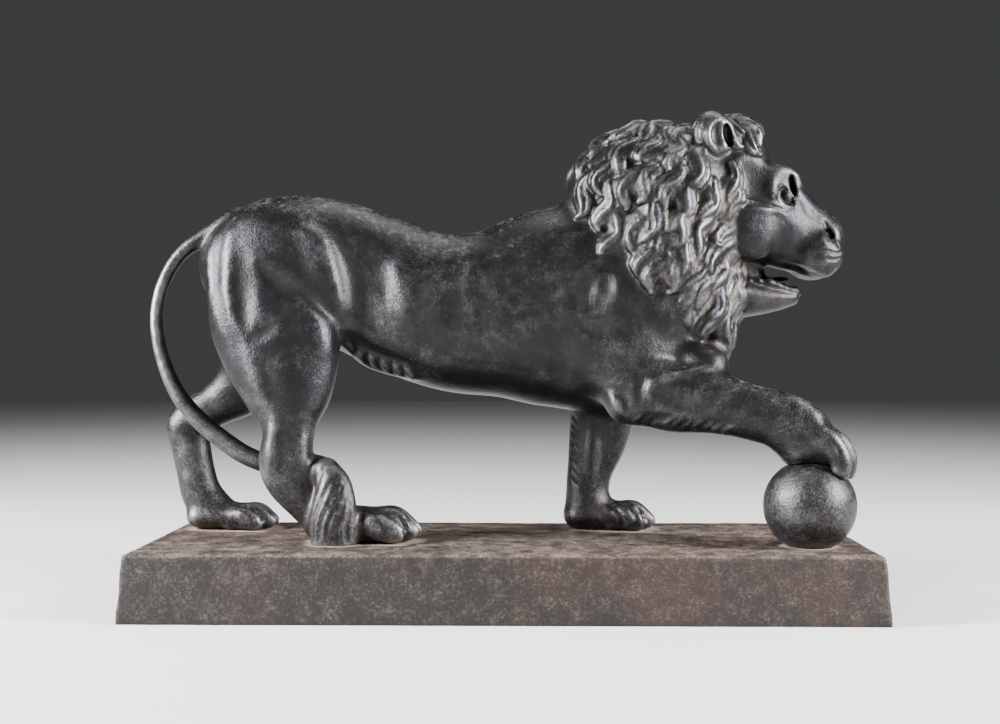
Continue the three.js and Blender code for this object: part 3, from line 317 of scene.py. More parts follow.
# Finer lines that only the dressed casting has, on both sides of the head
FACE_LINES = [
    ([(119.8, 151.8), (117, 149.2), (116.6, 146), (118.4, 143.2), (121.6, 142.2), (124.8, 142.4)], 1, 1.2),
    ([(119.8, 151.6), (122, 149.4), (123.8, 146), (124.8, 142.6)], 0.8, 0.8),
    ([(121, 147.8), (121.7, 146.6)], 0.9, 0.7),
    ([(97, 140.6), (102.6, 142.6), (113, 141.9), (120, 140)], 1.5, -0.9),
    ([(102.7, 143.5), (109.3, 141.6), (115.4, 141.6), (119, 138.6)], 3.4, 0.9),
    ([(118.9, 156.5), (115.6, 154), (113.6, 150.5), (113.8, 146.5)], 3.4, 0.6),
    ([(126.6, 147), (131.5, 140), (136, 136)], 2.6, -0.6),
    ([(138, 136.4), (139.4, 132.6), (141.4, 128.6), (143.4, 125.4)], 1.5, -2.2),
    ([(141.6, 135), (143.2, 132), (144.6, 129.4)], 1.8, 0.3),
    ([(136.2, 132), (136.6, 128), (138.6, 125.4)], 1.8, 0.35),
    ([(133, 122.6), (137.8, 123), (143.4, 122.3), (146, 124.8)], 0.9, -0.9),
    ([(133.6, 120.6), (141.9, 119.6), (145, 121)], 0.9, -0.7),
    ([(143.6, 116.4), (139, 113), (133, 114), (126, 117.8), (116, 119.6)], 1.6, 0.9),
]
EAR_LINES = [
    ([(92, 180), (87.6, 175.5), (86.2, 171.3), (87.2, 167), (90.5, 163.4)], 1.6, 1),
    ([(83.4, 179), (80.8, 173), (82, 166)], 1.6, -1),
]

# The mane lies in tiers round an axis, from behind the face back to a rear edge that slopes. The roots
# of its locks are looked for from outside.
MANE = dict(
    axis_up=122,
    outside=70,
    front=98,
    rear=20,
    rear_slope=95,
    rear_below=88,
    crown=16,
    crown_slope=6,
    tier_gap=9.8,
    columns=22,
    lock_length=18,
    lock_width=4.6,
    relief=5.2,
    wave=2.3,
)
LOCK_STEPS = 12
# Roots of the locks that frame the face, hang as a beard and fall over the forehead
FRINGE_X = 97
FRINGE_UPS = (158, 149, 140, 131, 121, 111)
BEARD_X = 125
BEARD = [(97, (-15, -8, 0, 8, 15)), (86, (-11, -4, 4, 11))]
FORELOCK_UP = 200
FORELOCK = [(99, (-11.5, -8.2, -4.9, -1.6, 1.6, 4.9, 8.2, 11.5)), (91, (-8, -4, 0, 4, 8))]
FORELOCK_SIZE = 0.95
MANE_DIP = 2.8  # how far the ground sinks between the locks
EAR_ROOM = 9  # no lock has its root nearer to an ear
FOLD_SPREAD = 1.3  # folds are laid this much wider than their tables say

# How far the skin flows from one mass into the next
BODY_BLEND = 9
LIMB_BLEND = 7
FACE_BLEND = 5
CHEEK_BLEND = 4
SOFT_BLEND = 3
FINE_BLEND = 2
MOUTH_BLEND = 1.5
EDGE_BLEND = 1
LIP_BLEND = 0.8
EYE_BLEND = 0.6

# Grid along x, side and up: each stop is a place and the spacing that follows it, finest at the head
GRID = [
    [(-160, 1.15), (18, 0.75), (97, 0.52), (152, 1)],
    [(-54, 0.95), (-20, 0.62), (20, 0.95), (42, 1)],
    [(-2, 1), (60, 0.8), (100, 0.55), (165, 0.75), (191, 1)],
]
CORNERS = [(n & 1, n >> 1 & 1, n >> 2) for n in range(8)]
FAR = 1000.0
ROOM = 3.5  # how far round a shape its distance is worked out
FEET_SINK = 0.3  # the feet reach this far into the plinth's top
GAP_AT_BALL = 0.12
MOST_TRIANGLES = 196000

# Dust round the feet: the level where a foot's outline is taken, the ball's foot, the ring's reach
RING_LEVEL = 0.6
BALL_FOOT = 10
RING_REACH = 3.5

# The plain castings, in metres: their skin's swells, each with its size and reach, and the plinth's
# lower arris and finest detail
PLINTH_SWELLS = [(0.03, 0.0006), (0.006, 0.0003)]
BALL_SWELLS = [(0.02, 0.00012)]
FOOT_ARRIS = 0.0008
PLINTH_VOXEL = 0.0011
BALL_WEAR = 0.3  # crest, rise and soil, the same all over the ball

# Colours
DARK_IRON = (0.014, 0.014, 0.0158, 1)
WORN_IRON = (0.22, 0.22, 0.23, 1)
DUST = (0.085, 0.064, 0.05, 1)
PALE_DUST = (0.155, 0.124, 0.1, 1)
PLINTH_IRON = (0.013, 0.011, 0.011, 1)
RUSTY_IRON = (0.038, 0.021, 0.0155, 1)
PLINTH_DUST = (0.06, 0.042, 0.032, 1)
PALE_PLINTH_DUST = (0.23, 0.175, 0.134, 1)
FLOOR_TONES = (0.5, 0.5, 0.49, 1), (0.55, 0.55, 0.54, 1)

# Studio, in metres, watts and degrees: each softbox's name, place, size and power
SOFTBOXES = [
    ("softbox_left", (-0.8, -0.26, 0.42), (0.2, 0.36), 56),
    ("softbox_right", (0.8, -0.28, 0.4), (0.2, 0.34), 42),
    ("softbox_top", (0.1, 0.1, 0.95), (0.5, 0.4), 7),
    ("softbox_front", (0.1, -1.1, 0.5), (0.5, 0.3), 2.5),
]
SOFTBOX_AIM = (0, 0, 0.1)
FLOOR_SIZE = 6
SKY_COLOUR = (0.5, 0.52, 0.55, 1)
SKY_STRENGTH = 0.1
CAMERA_PLACE = (0.0085, -0.585, 0.1033)
CAMERA_TURN = (90, 0, 1)
CAMERA_LENS = 48.7
CAMERA_SENSOR = 36


# Shapes as distances, negative inside
class Round:
    """One rounded shape, with the corners of the box that holds it."""

    def __init__(self, low, high, distance):
        self.low = np.array(low, float)
        self.high = np.array(high, float)
        self.distance = distance


def roundness(u, v, w, ru, rv, rw):
    """Roughly the distance to an egg's skin, from the offsets to its middle and its half sizes."""
    flat = np.sqrt((u / ru) ** 2 + (v / rv) ** 2 + (w / rw) ** 2 + 1e-12)
    steep = np.sqrt((u / ru**2) ** 2 + (v / rv**2) ** 2 + (w / rw**2) ** 2 + 1e-16)
    return flat * (flat - 1) / steep


def lump(x, side, up, length, width, height, lean=0):
    """One rounded mass."""
    c, s = math.cos(math.radians(lean)), math.sin(math.radians(lean))
    reach = max(length, height)

    def distance(px, py, pz):
        dx, dz = px - x, pz - up
        return roundness(c * dx + s * dz, py - side, c * dz - s * dx, length, width, height)

    low = (x - reach, side - width, up - reach)
    high = (x + reach, side + width, up + reach)
    return [Round(low, high, distance)]


def curve_points(points, steps):
    """An even-handed curve through the points, which doesn't overshoot at tight turns."""
    points = np.array(points, float)
    padded = np.vstack([2 * points[0] - points[1], points, 2 * points[-1] - points[-2]])
    made = []
    for i in range(len(points) - 1):
        p0, p1, p2, p3 = padded[i : i + 4]
        d0, d1, d2 = (np.sum((b - a) ** 2) ** 0.25 for a, b in ((p0, p1), (p1, p2), (p2, p3)))
        d1 = d1 if d1 > 1e-4 else 1.0
        d0 = d0 if d0 > 1e-4 else d1
        d2 = d2 if d2 > 1e-4 else d1
        leave = ((p1 - p0) / d0 - (p2 - p0) / (d0 + d1) + (p2 - p1) / d1) * d1
        arrive = ((p2 - p1) / d1 - (p3 - p1) / (d1 + d2) + (p3 - p2) / d2) * d1
        for n in range(steps):
            t = n / steps
            made.append(
                p1
                + leave * t
                + (3 * (p2 - p1) - 2 * leave - arrive) * t**2
                + (2 * (p1 - p2) + leave + arrive) * t**3
            )
    made.append(points[-1])
    return np.array(made)


def limb(stations, steps=6):
    """A limb that runs smoothly through its stations."""
    places = curve_points([s[:3] for s in stations], steps)
    sizes = curve_points([s[3:5] for s in stations], steps)
    return [stretch(*pair) for pair in zip(places, places[1:], sizes, sizes[1:])]


def stretch(a, b, size_a, size_b):
    """A short length of limb between two places."""
    along = b - a
    length2 = float(along @ along)

    def distance(px, py, pz):
        t = ((px - a[0]) * along[0] + (py - a[1]) * along[1] + (pz - a[2]) * along[2]) / length2
        t = np.clip(t, 0, 1)
        tall = size_a[0] + (size_b[0] - size_a[0]) * t
        wide = size_a[1] + (size_b[1] - size_a[1]) * t
        u, v, w = px - a[0] - t * along[0], py - a[1] - t * along[1], pz - a[2] - t * along[2]
        return roundness(u, v, w, tall, wide, tall)

    reach = max(*size_a, *size_b)
    return Round(np.minimum(a, b) - reach, np.maximum(a, b) + reach, distance)


def smooth_min(a, b, reach):
    """The lesser of two distances, flowing from one to the other where they differ by under reach."""
    near = np.maximum(reach - np.abs(a - b), 0) / reach
    return np.minimum(a, b) - near * near * (reach / 4)


class Form:
    """Shapes pressed together in turn, which can be measured at any points."""

    def __init__(self, steps):
        self.steps = steps

    def distance(self, p):
        x, y, z = p[:, 0], p[:, 1], p[:, 2]
        d = np.full(len(p), FAR)
        for rounds, reach in self.steps:
            d = smooth_min(d, np.min([r.distance(x, y, z) for r in rounds], axis=0), reach)
        return d

    def slope(self, p):
        """The way out of the skin from each point, and how fast the distance grows that way."""
        e = 0.05
        sides = [self.distance(p + e * axis) - self.distance(p - e * axis) for axis in np.eye(3)]
        slope = np.stack(sides, axis=1) / (2 * e)
        steep = np.linalg.norm(slope, axis=1)
        return slope / np.maximum(steep, 1e-9)[:, None], steep

    def settle(self, p):
        """Moves points that are near the skin onto it."""
        for _ in range(3):
            outward, steep = self.slope(p)
            d = np.clip(self.distance(p) / np.maximum(steep, 0.3), -2, 2)
            p = p - outward * d[:, None]
        return p

    def first_skin(self, start, way):
        """Where straight lines from outside meet the skin, and which of them do."""
        way = way / np.linalg.norm(way, axis=1)[:, None]
        gone = np.zeros(len(start))
        # Each step is shorter than the distance, which rounded shapes measure a little long
        for _ in range(160):
            d = self.distance(start + way * gone[:, None])
            gone += np.where(d < 0.05, 0, np.clip(d * 0.7, 0.1, 4))
        return start + way * gone[:, None], (d < 0.06) & (gone < 110)


def paw(x, side, length, height, width):
    """A paw flat on the plinth, heel at x: an instep, and four toes that arch over their knuckles."""
    masses = [
        limb([
            (x, side, height * 0.52, height * 0.52, width * 0.4),
            (x + length * 0.42, side, height * 0.52, height * 0.52, width * 0.43),
            (x + length * 0.62, side, height * 0.44, height * 0.44, width * 0.43),
        ])
    ]
    masses.append(
        limb([
            (x + length * 0.4, side, height * 0.2, height * 0.22, width * 0.42),
            (x + length * 0.8, side, height * 0.18, height * 0.2, width * 0.4),
        ])
    )
    for toe, reach, rise in TOES:
        tip = x + length * reach - height * 0.35
        across = side + toe * width * 0.26
        near = side + toe * width * 0.18
        masses.append(
            limb([
                (x + length * 0.45, near, height * 0.6, height * 0.3, width * 0.12),
                (tip - height * 0.42, across, height * rise, height * 0.37, width * 0.125),
                (tip, across, height * 0.36, height * 0.34, width * 0.12),
            ])
        )
        masses.append(lump(tip + height * 0.3, across, height * 0.3, 2.2, 0.9, 1.8, 30))
    return masses


def gripping_paw():
    """The raised paw: a pad on top of the ball, and toes that curl down over its front."""
    side = GRIP_SIDE
    masses = [
        limb([(118, side, 48, 11, 9.6), (126, side, 43.5, 9.6, 11), (131, side, 40, 7.5, 11)]),
        lump(121, side, 40.5, 8, 10, 8),
    ]
    for toe, reach, _ in TOES:
        back = 30 * (1 - reach)
        masses.append(
            limb([
                (126, side + toe * 4.4, 46, 5.4, 3.2),
                (136.5 - back, side + toe * 6.4, 42.8, 5.2, 3.6),
                (140.8 - back, side + toe * 6.6, 36, 4.6, 3.5),
                (141 - back, side + toe * 6.6, 32.6, 4.1, 3.3),
            ])
        )
        masses.append(lump(142.6 - back, side + toe * 6.6, 29.6, 1.6, 0.9, 2.4))
    return masses


def one_side(row, hand):
    x, side, up, *rest = row
    return lump(x, hand * side, up, *rest)


def paired(*row):
    return [one_side(row, hand) for hand in (RIGHT, LEFT)]


trunk = [(limb(TORSO), BODY_BLEND)]
mane_masses = [(lump(*mass), BODY_BLEND) for mass in MANE_MASSES]
skull = [(lump(*mass), FACE_BLEND) for mass in SKULL_MASSES]
legs = [(limb(leg), LIMB_BLEND) for leg in (RIGHT_HIND, LEFT_HIND, LEFT_FORE, RIGHT_FORE)]
brows = [limb([(x, hand * side, *rest) for x, side, *rest in BROW]) for hand in (RIGHT, LEFT)]
face = [
    *skull,
    (limb(FACE), FACE_BLEND),
    (limb(NOSE_BRIDGE), FACE_BLEND),
    (limb(LOWER_JAW), FINE_BLEND),
    *[(mass, CHEEK_BLEND) for row in PAIRED_MASSES for mass in paired(*row)],
    (lump(*NOSE_PAD), FINE_BLEND),
    *[(brow, FINE_BLEND) for brow in brows],
]
ends = [
    *[(mass, FINE_BLEND) for row in PAWS for mass in paw(**row)],
    *[(mass, FINE_BLEND) for mass in gripping_paw()],
    (limb(TAIL), FINE_BLEND),
    (limb(TAIL_TUFT), FINE_BLEND),
]
broad = [*trunk, *mane_masses, *legs, (lump(*ELBOW), FACE_BLEND), (lump(*ARMPIT), LIMB_BLEND)]
hollows = [
    *[(mass, SOFT_BLEND) for mass in paired(*EYE_SOCKET)],
    *[(mass, MOUTH_BLEND) for mass in paired(*INNER_CORNER)],
    *[(mass, FACE_BLEND) for mass in paired(*TEMPLE)],
]
mane_base = Form([*trunk, *mane_masses, *skull])


class Clay:
    """A block of space on a grid of uneven steps, holding the distance to the lion's skin."""

    def __init__(self, *axes):
        self.axes = [np.array(line, np.float32) for line in axes]
        self.value = self.empty(FAR)

    def empty(self, fill):
        return np.full([len(line) for line in self.axes], fill, np.float32)

    def block(self, low, high):
        cut = tuple(slice(*np.searchsorted(line, pair)) for line, pair in zip(self.axes, zip(low, high)))
        lines = [line[part] for line, part in zip(self.axes, cut)]
        return cut, (lines[0][:, None, None], lines[1][None, :, None], lines[2][None, None, :])

    def nearest(self, rounds, room):
        low = np.min([r.low for r in rounds], axis=0) - room
        high = np.max([r.high for r in rounds], axis=0) + room
        cut, _ = self.block(low, high)
        near = np.full(self.value[cut].shape, FAR, np.float32)
        for r in rounds:
            inner, place = self.block(r.low - room, r.high + room)
            here = tuple(slice(b.start - a.start, b.stop - a.start) for a, b in zip(cut, inner))
            near[here] = np.minimum(near[here], r.distance(*place))
        return cut, near

    def press(self, rounds, reach):
        cut, near = self.nearest(rounds, reach + ROOM)
        self.value[cut] = smooth_min(self.value[cut], near, reach)

    def carve(self, rounds, reach):
        cut, near = self.nearest(rounds, reach + ROOM)
        self.value[cut] = -smooth_min(-self.value[cut], near, reach)

    def averaged(self, values, radius, times=1):
        """Each value becomes the mean of its neighbours within radius steps."""
        for _ in range(times):
            for axis in range(3):
                total = values.copy()
                lines = np.moveaxis(values, axis, 0)
                sums = np.moveaxis(total, axis, 0)
                for n in range(1, radius + 1):
                    sums[n:] += lines[:-n]
                    sums[:-n] += lines[n:]
                    sums[:n] += lines[:n]
                    sums[-n:] += lines[-n:]
                values = total / (2 * radius + 1)
        return values

    def between(self, axis, along):
        """For places along one axis: the grid line before each, and how far on towards the next."""
        line = self.axes[axis]
        n = np.clip(np.searchsorted(line, along) - 1, 0, len(line) - 2)
        return n, np.clip((along - line[n]) / (line[n + 1] - line[n]), 0, 1)

    def sample(self, values, points):
        """The values at any points, straight between the grid's."""
        (i, u), (j, v), (k, w) = (self.between(axis, points[:, axis]) for axis in range(3))
        total = 0
        for a, b, c in CORNERS:
            share = (u if a else 1 - u) * (v if b else 1 - v) * (w if c else 1 - w)
            total = total + share * values[i + a, j + b, k + c]
        return total

    def skin_beside(self, points, hand):
        """The skin at each x and up, as first met from one side. Places with none are left out."""
        (i, u), (k, w) = self.between(0, points[:, 0]), self.between(2, points[:, 1])
        v, u, w = self.value, u[:, None], w[:, None]
        lines = (v[i, :, k] * (1 - u) + v[i + 1, :, k] * u) * (1 - w)
        lines += (v[i, :, k + 1] * (1 - u) + v[i + 1, :, k + 1] * u) * w
        across = self.axes[1]
        if hand > 0:
            lines, across = lines[:, ::-1], across[::-1]
        first = np.argmax(lines < 0, axis=1)
        rows = np.flatnonzero(first > 0)
        first = first[rows]
        outer, inner = lines[rows, first - 1], lines[rows, first]
        side = across[first - 1] + (across[first] - across[first - 1]) * outer / (outer - inner)
        return np.column_stack([points[rows, 0], side, points[rows, 1]])

    def fold(self, rise, path, half_width, height):
        """Adds one stroke along path to rise: a ridge, or a groove where height is negative."""
        room = half_width.max()
        cut, _ = self.block(path.min(axis=0) - room, path.max(axis=0) + room)
        own = np.zeros(rise[cut].shape, np.float32)
        for n in range(len(path) - 1):
            a, b = path[n], path[n + 1]
            low, high = np.minimum(a, b) - room, np.maximum(a, b) + room
            inner, place = self.block(low, high)
            here = tuple(slice(q.start - p.start, q.stop - p.start) for p, q in zip(cut, inner))
            t, gap2, _ = beside(place, a, b)
            wide = half_width[n] + (half_width[n + 1] - half_width[n]) * t
            high_here = height[n] + (height[n + 1] - height[n]) * t
            here_rise = high_here * np.clip(1 - gap2 / wide**2, 0, 1) ** 2
            own[here] = np.where(np.abs(here_rise) > np.abs(own[here]), here_rise, own[here])
        rise[cut] += own


def beside(place, a, b):
    """How far along a to b each point lies, its squared distance from that line, and the offsets."""
    along = b - a
    offset = [p - q for p, q in zip(place, a)]
    t = sum(o * e for o, e in zip(offset, along)) / max(float(along @ along), 1e-6)
    t = np.clip(t, 0, 1)
    offset = [o - t * e for o, e in zip(offset, along)]
    return t, sum(o * o for o in offset), offset


def grid_lines(*stops):
    """Lines from stop to stop: each stop is a place and the spacing that follows it."""
    lines = [stops[0][0]]
    for (start, spacing), (end, _) in zip(stops, stops[1:]):
        count = round((end - start) / spacing)
        lines.extend(start + (end - start) * (n + 1) / count for n in range(count))
    return lines


def add_folds(clay, folds, hand, steps=4):
    """Presses ridges and grooves onto the skin that shows from one side."""
    rise = clay.empty(0)
    for at, half_width, height in folds:
        skin = clay.skin_beside(curve_points(at, steps), hand)
        if len(skin) < 2:
            continue
        fade = np.sin(np.pi * np.linspace(0.07, 0.93, len(skin))) ** 0.7
        clay.fold(rise, skin, half_width * FOLD_SPREAD * np.sqrt(fade), height * fade)
    clay.value -= rise


def short_hair():
    """Rows of short tufts, as folds that lean across each row's line."""
    tufts = []
    for start, end, lean, count, half_width, height in HAIR_ROWS:
        for n in range(count):
            share = n / (count - 1)
            x, up = (a + (b - a) * share for a, b in zip(start, end))
            slip = 0.5 * float(chance(n + count))
            at = [(x - lean[0] / 2, up - lean[1] / 2 + slip), (x + lean[0] / 2, up + lean[1] / 2 + slip)]
            tufts.append((at, half_width, height))
    return tufts


def chance(seed):
    """A steady stand-in for chance, between -1 and 1."""
    turn = np.sin(np.asarray(seed, float) * 12.9898) * 43758.5453
    return 2 * (turn - np.floor(turn)) - 1


def comb(roots, flow, seeds, size=1.0):
    """Runs a lock from each root along the flow, over the skin under the mane."""
    seeds = np.asarray(seeds, float)
    step = MANE["lock_length"] * size * (1 + 0.15 * chance(seeds + 3)) / LOCK_STEPS
    first = chance(seeds) * math.pi
    p = mane_base.settle(roots)
    path, sideways = [], []
    for n in range(LOCK_STEPS + 1):
        t = n / LOCK_STEPS
        outward = mane_base.slope(p)[0]
        pull = flow(p)
        way = pull - np.sum(pull * outward, axis=1)[:, None] * outward
        way /= np.linalg.norm(way, axis=1)[:, None]
        across = np.cross(outward, way)
        swing = MANE["wave"] * size * np.sin(first + t * math.pi * 2.2)
        path.append(p + across * swing[:, None] + outward * (0.16 + 0.48 * t))
        sideways.append(across)
        p = mane_base.settle(p + way * step[:, None])

    # Each lock swells, then narrows to its tip, and stands off further towards its end
    t = np.linspace(0, 1, LOCK_STEPS + 1)
    swell = 0.75 + 0.45 * np.sin(math.pi * np.minimum(1, t * 1.1))
    narrow = 1 - 0.55 * np.maximum(0, (t - 0.7) / 0.3) ** 1.5
    width = MANE["lock_width"] * size * swell * narrow
    height = MANE["relief"] * size * np.where(t < 0.85, 0.45 + 0.7 * t, 1.9 - 1.2 * t - 0.02)
    strands = np.where(np.abs(chance(seeds + 9)) < 0.7, 3, 2)
    paths, sideways = np.stack(path, axis=1), np.stack(sideways, axis=1)
    lifts = (1 + 0.22 * chance(seeds + 5)) * np.clip(0.5 + (roots[:, 0] - 30) / 40, 0.5, 1)
    return [(paths[n], sideways[n], width, height * lifts[n], strands[n]) for n in range(len(seeds))]


def mane_locks():
    """The locks in tiers round the neck, then the beard's and the forelock's."""
    roots, ways, seeds = [], [], []
    for column in range(MANE["columns"]):
        turn = 2 * math.pi * (column + 0.5) / MANE["columns"]
        from_top = min(turn, 2 * math.pi - turn) / math.pi
        crown = MANE["crown"] * max(0, 1 - MANE["crown_slope"] * from_top)
        rear = min(MANE["rear_below"], MANE["rear"] + crown + MANE["rear_slope"] * from_top)
        tiers = max(1, round((MANE["front"] - rear) / MANE["tier_gap"]))
        for tier in range(tiers + 1):
            seed = column * 17 + tier * 5
            share = (tier + (0.5 if column % 2 else 0)) / (tiers + 0.5)
            x = rear + (MANE["front"] - rear) * share + chance(seed + 1) * 1.5
            angle = turn + chance(seed + 2) * 0.07
            way = np.array((0, math.sin(angle), math.cos(angle)))
            roots.append((x, way[1] * MANE["outside"], MANE["axis_up"] + way[2] * MANE["outside"]))
            ways.append(-way)
            seeds.append(seed)
    roots, met = mane_base.first_skin(np.array(roots, float), np.array(ways))
    ears = np.array([(EAR[0], hand * EAR[1], EAR[2]) for hand in (RIGHT, LEFT)])
    to_ear = np.linalg.norm(roots[:, None] - ears[None], axis=2).min(axis=1)
    kept = met & (to_ear > EAR_ROOM)

    def away(p):
        return np.column_stack([np.full(len(p), -0.45), 0.15 * np.sign(p[:, 1]), np.full(len(p), -1.0)])

    locks = comb(roots[kept], away, np.array(seeds)[kept])

    for hand in (RIGHT, LEFT):
        start = np.array([(FRINGE_X, hand * 60, up) for up in FRINGE_UPS], float)
        roots, met = mane_base.first_skin(start, np.tile((0, -hand, 0), (len(start), 1)))
        locks += comb(roots[met], lambda p: np.tile((-0.12, 0, -1.0), (len(p), 1)), start[met][:, 2] + hand)

    start = np.array([(BEARD_X, side, up) for up, sides in BEARD for side in sides], float)
    roots, met = mane_base.first_skin(start, np.tile((-1.0, 0, 0), (len(start), 1)))
    locks += comb(roots[met], lambda p: np.tile((-0.1, 0, -1.0), (len(p), 1)), start[met].sum(axis=1))

    for x, sides in FORELOCK:
        sides = np.array(sides, float)
        start = np.column_stack([x - np.abs(sides) * 0.2, sides, np.full(len(sides), FORELOCK_UP, float)])
        roots, met = mane_base.first_skin(start, np.tile((0, 0, -1.0), (len(sides), 1)))
        forward = np.column_stack([np.full(len(sides), 0.75), sides * 0.012, np.full(len(sides), -0.65)])
        locks += comb(roots[met], lambda p: forward[met], sides[met] + x, FORELOCK_SIZE)
    return locks


def lay_mane(clay):
    """Raises every lock with its strands, and sinks the ground beside them."""
    rise = clay.empty(0)
    cover = clay.empty(-1)
    for path, sideways, width, height, strands in mane_locks():
        for n in range(len(path) - 1):
            a, b = path[n], path[n + 1]
            room = 1.42 * max(width[n], width[n + 1])
            cut, place = clay.block(np.minimum(a, b) - room, np.maximum(a, b) + room)
            t, gap2, offset = beside(place, a, b)
            wide = width[n] + (width[n + 1] - width[n]) * t
            high = height[n] + (height[n + 1] - height[n]) * t
            across = sum(o * e for o, e in zip(offset, sideways[n])) / wide
            held = 1 - gap2 / wide**2
            strand = 0.76 + 0.24 * np.cos(math.pi * strands * across)
            rise[cut] = np.maximum(rise[cut], high * np.clip(held, 0, 1) * strand)
            cover[cut] = np.maximum(cover[cut], held)
    among = np.clip((clay.averaged((cover > -0.2).astype(np.float32), 6) - 0.45) / 0.3, 0, 1)
    clay.value -= rise - MANE_DIP * among * np.sin(np.pi * np.clip(-cover, 0, 1))
    clay.soil = among


def surface_of(clay):
    """The skin as points and four-sided faces, one point to each grid cell that it passes through."""
    value = clay.value
    inside = value < 0
    size = [n - 1 for n in value.shape]
    count = sum(
        inside[a : a + size[0], b : b + size[1], c : c + size[2]].astype(np.uint8) for a, b, c in CORNERS
    )
    cells = np.argwhere((count > 0) & (count < 8))
    number = np.full(size, -1, np.int32)
    number[tuple(cells.T)] = np.arange(len(cells))

    at_corner = [value[tuple((cells + c).T)] for c in CORNERS]
    place = [np.column_stack([line[cells[:, e] + c[e]] for e, line in enumerate(clay.axes)]) for c in CORNERS]
    total, hits = np.zeros((len(cells), 3)), np.zeros(len(cells))
    for n in range(8):
        for bit in (1, 2, 4):
            if n & bit:
                continue
            va, vb = at_corner[n], at_corner[n | bit]
            crossed = (va < 0) != (vb < 0)
            t = np.where(crossed, va / np.where(crossed, va - vb, 1), 0)[:, None]
            total += np.where(crossed[:, None], place[n] + (place[n | bit] - place[n]) * t, 0)
            hits += crossed
    points = total / hits[:, None]

    faces = []
    rings = {
        0: [(0, 1, 1), (0, 0, 1), (0, 0, 0), (0, 1, 0)],
        1: [(1, 0, 1), (1, 0, 0), (0, 0, 0), (0, 0, 1)],
        2: [(1, 1, 0), (0, 1, 0), (0, 0, 0), (1, 0, 0)],
    }
    for axis, ring in rings.items():
        here = np.moveaxis(inside, axis, 0)
        changes = np.zeros(value.shape, bool)
        np.moveaxis(changes, axis, 0)[:-1] = here[:-1] != here[1:]
        edges = np.argwhere(changes)
        edges = edges[np.all(edges > 0, axis=1) & np.all(edges < size, axis=1)]
        square = np.column_stack([number[tuple((edges - back).T)] for back in ring])
        outward = inside[tuple(edges.T)]
        faces.append(np.where(outward[:, None], square, square[:, ::-1]))
    return points, np.vstack(faces)


def shape_lion():
    clay = Clay(*[grid_lines(*stops) for stops in GRID])
    for rounds, reach in broad:
        clay.press(rounds, reach)
    clay.value = clay.averaged(clay.value, 1, times=2)
    for rounds, reach in face:
        clay.press(rounds, reach)
    clay.carve(lump(*JAW_HOLLOW), MOUTH_BLEND)
    clay.press(lump(*TONGUE), MOUTH_BLEND)
    clay.press(lump(*THROAT), SOFT_BLEND)
    for rounds, reach in hollows:
        clay.carve(rounds, reach)
    clay.value = clay.averaged(clay.value, 1)
    for rounds, reach in ends:
        clay.press(rounds, reach)
    for nostril in paired(*NOSTRIL):
        clay.carve(nostril, EDGE_BLEND)
    for hand in (RIGHT, LEFT):
        add_folds(clay, TRUNK_FOLDS, hand)
    add_folds(clay, [*THIGH_FOLDS, *ARM_FOLDS, *INNER_LEG_FOLDS], RIGHT)
    add_folds(clay, [*STANDING_LEG_FOLDS, *LEFT_THIGH_FOLDS], LEFT)
    clay.value = clay.averaged(clay.value, 1)
    add_folds(clay, [*short_hair(), *TUFT_STRANDS, *PAW_LINES], RIGHT)
    lay_mane(clay)
    for hand in (RIGHT, LEFT):
        clay.press(one_side(EYE, hand), EYE_BLEND)
        clay.press(one_side(EAR, hand), FINE_BLEND)
        for hollow in EAR_HOLLOW:
            clay.carve(one_side(hollow, hand), EDGE_BLEND)
        for n, (x, side, up) in enumerate(curve_points(LIP_RIM, 4)):
            uneven = float(chance(n * 3 + hand))
            size = LIP_GRAIN + LIP_GRAIN_VARIES * uneven
            clay.press(lump(x, hand * side, up + LIP_HEIGHT_VARIES * uneven, size, size, size), LIP_BLEND)
        add_folds(clay, [*FACE_LINES, *EAR_LINES], hand)
    x, y, z = clay.block([line[0] for line in clay.axes], [line[-1] + 1 for line in clay.axes])[1]
    across, up = y + LION_SIDE - BALL_CENTRE[1], z - BALL_CENTRE[2]
    to_ball = np.sqrt((x - BALL_CENTRE[0]) ** 2 + across**2 + up**2)
    clay.value = np.maximum(clay.value, BALL_RADIUS + GAP_AT_BALL - to_ball)
    clay.value = np.maximum(clay.value, -FEET_SINK - z)
    return clay


def round_place(points, middle, reach):
    """1 near the middle of a place, and falling to 0 a little past its reach."""
    return np.clip(1.3 - np.linalg.norm((points - middle) / reach, axis=1), 0, 1)


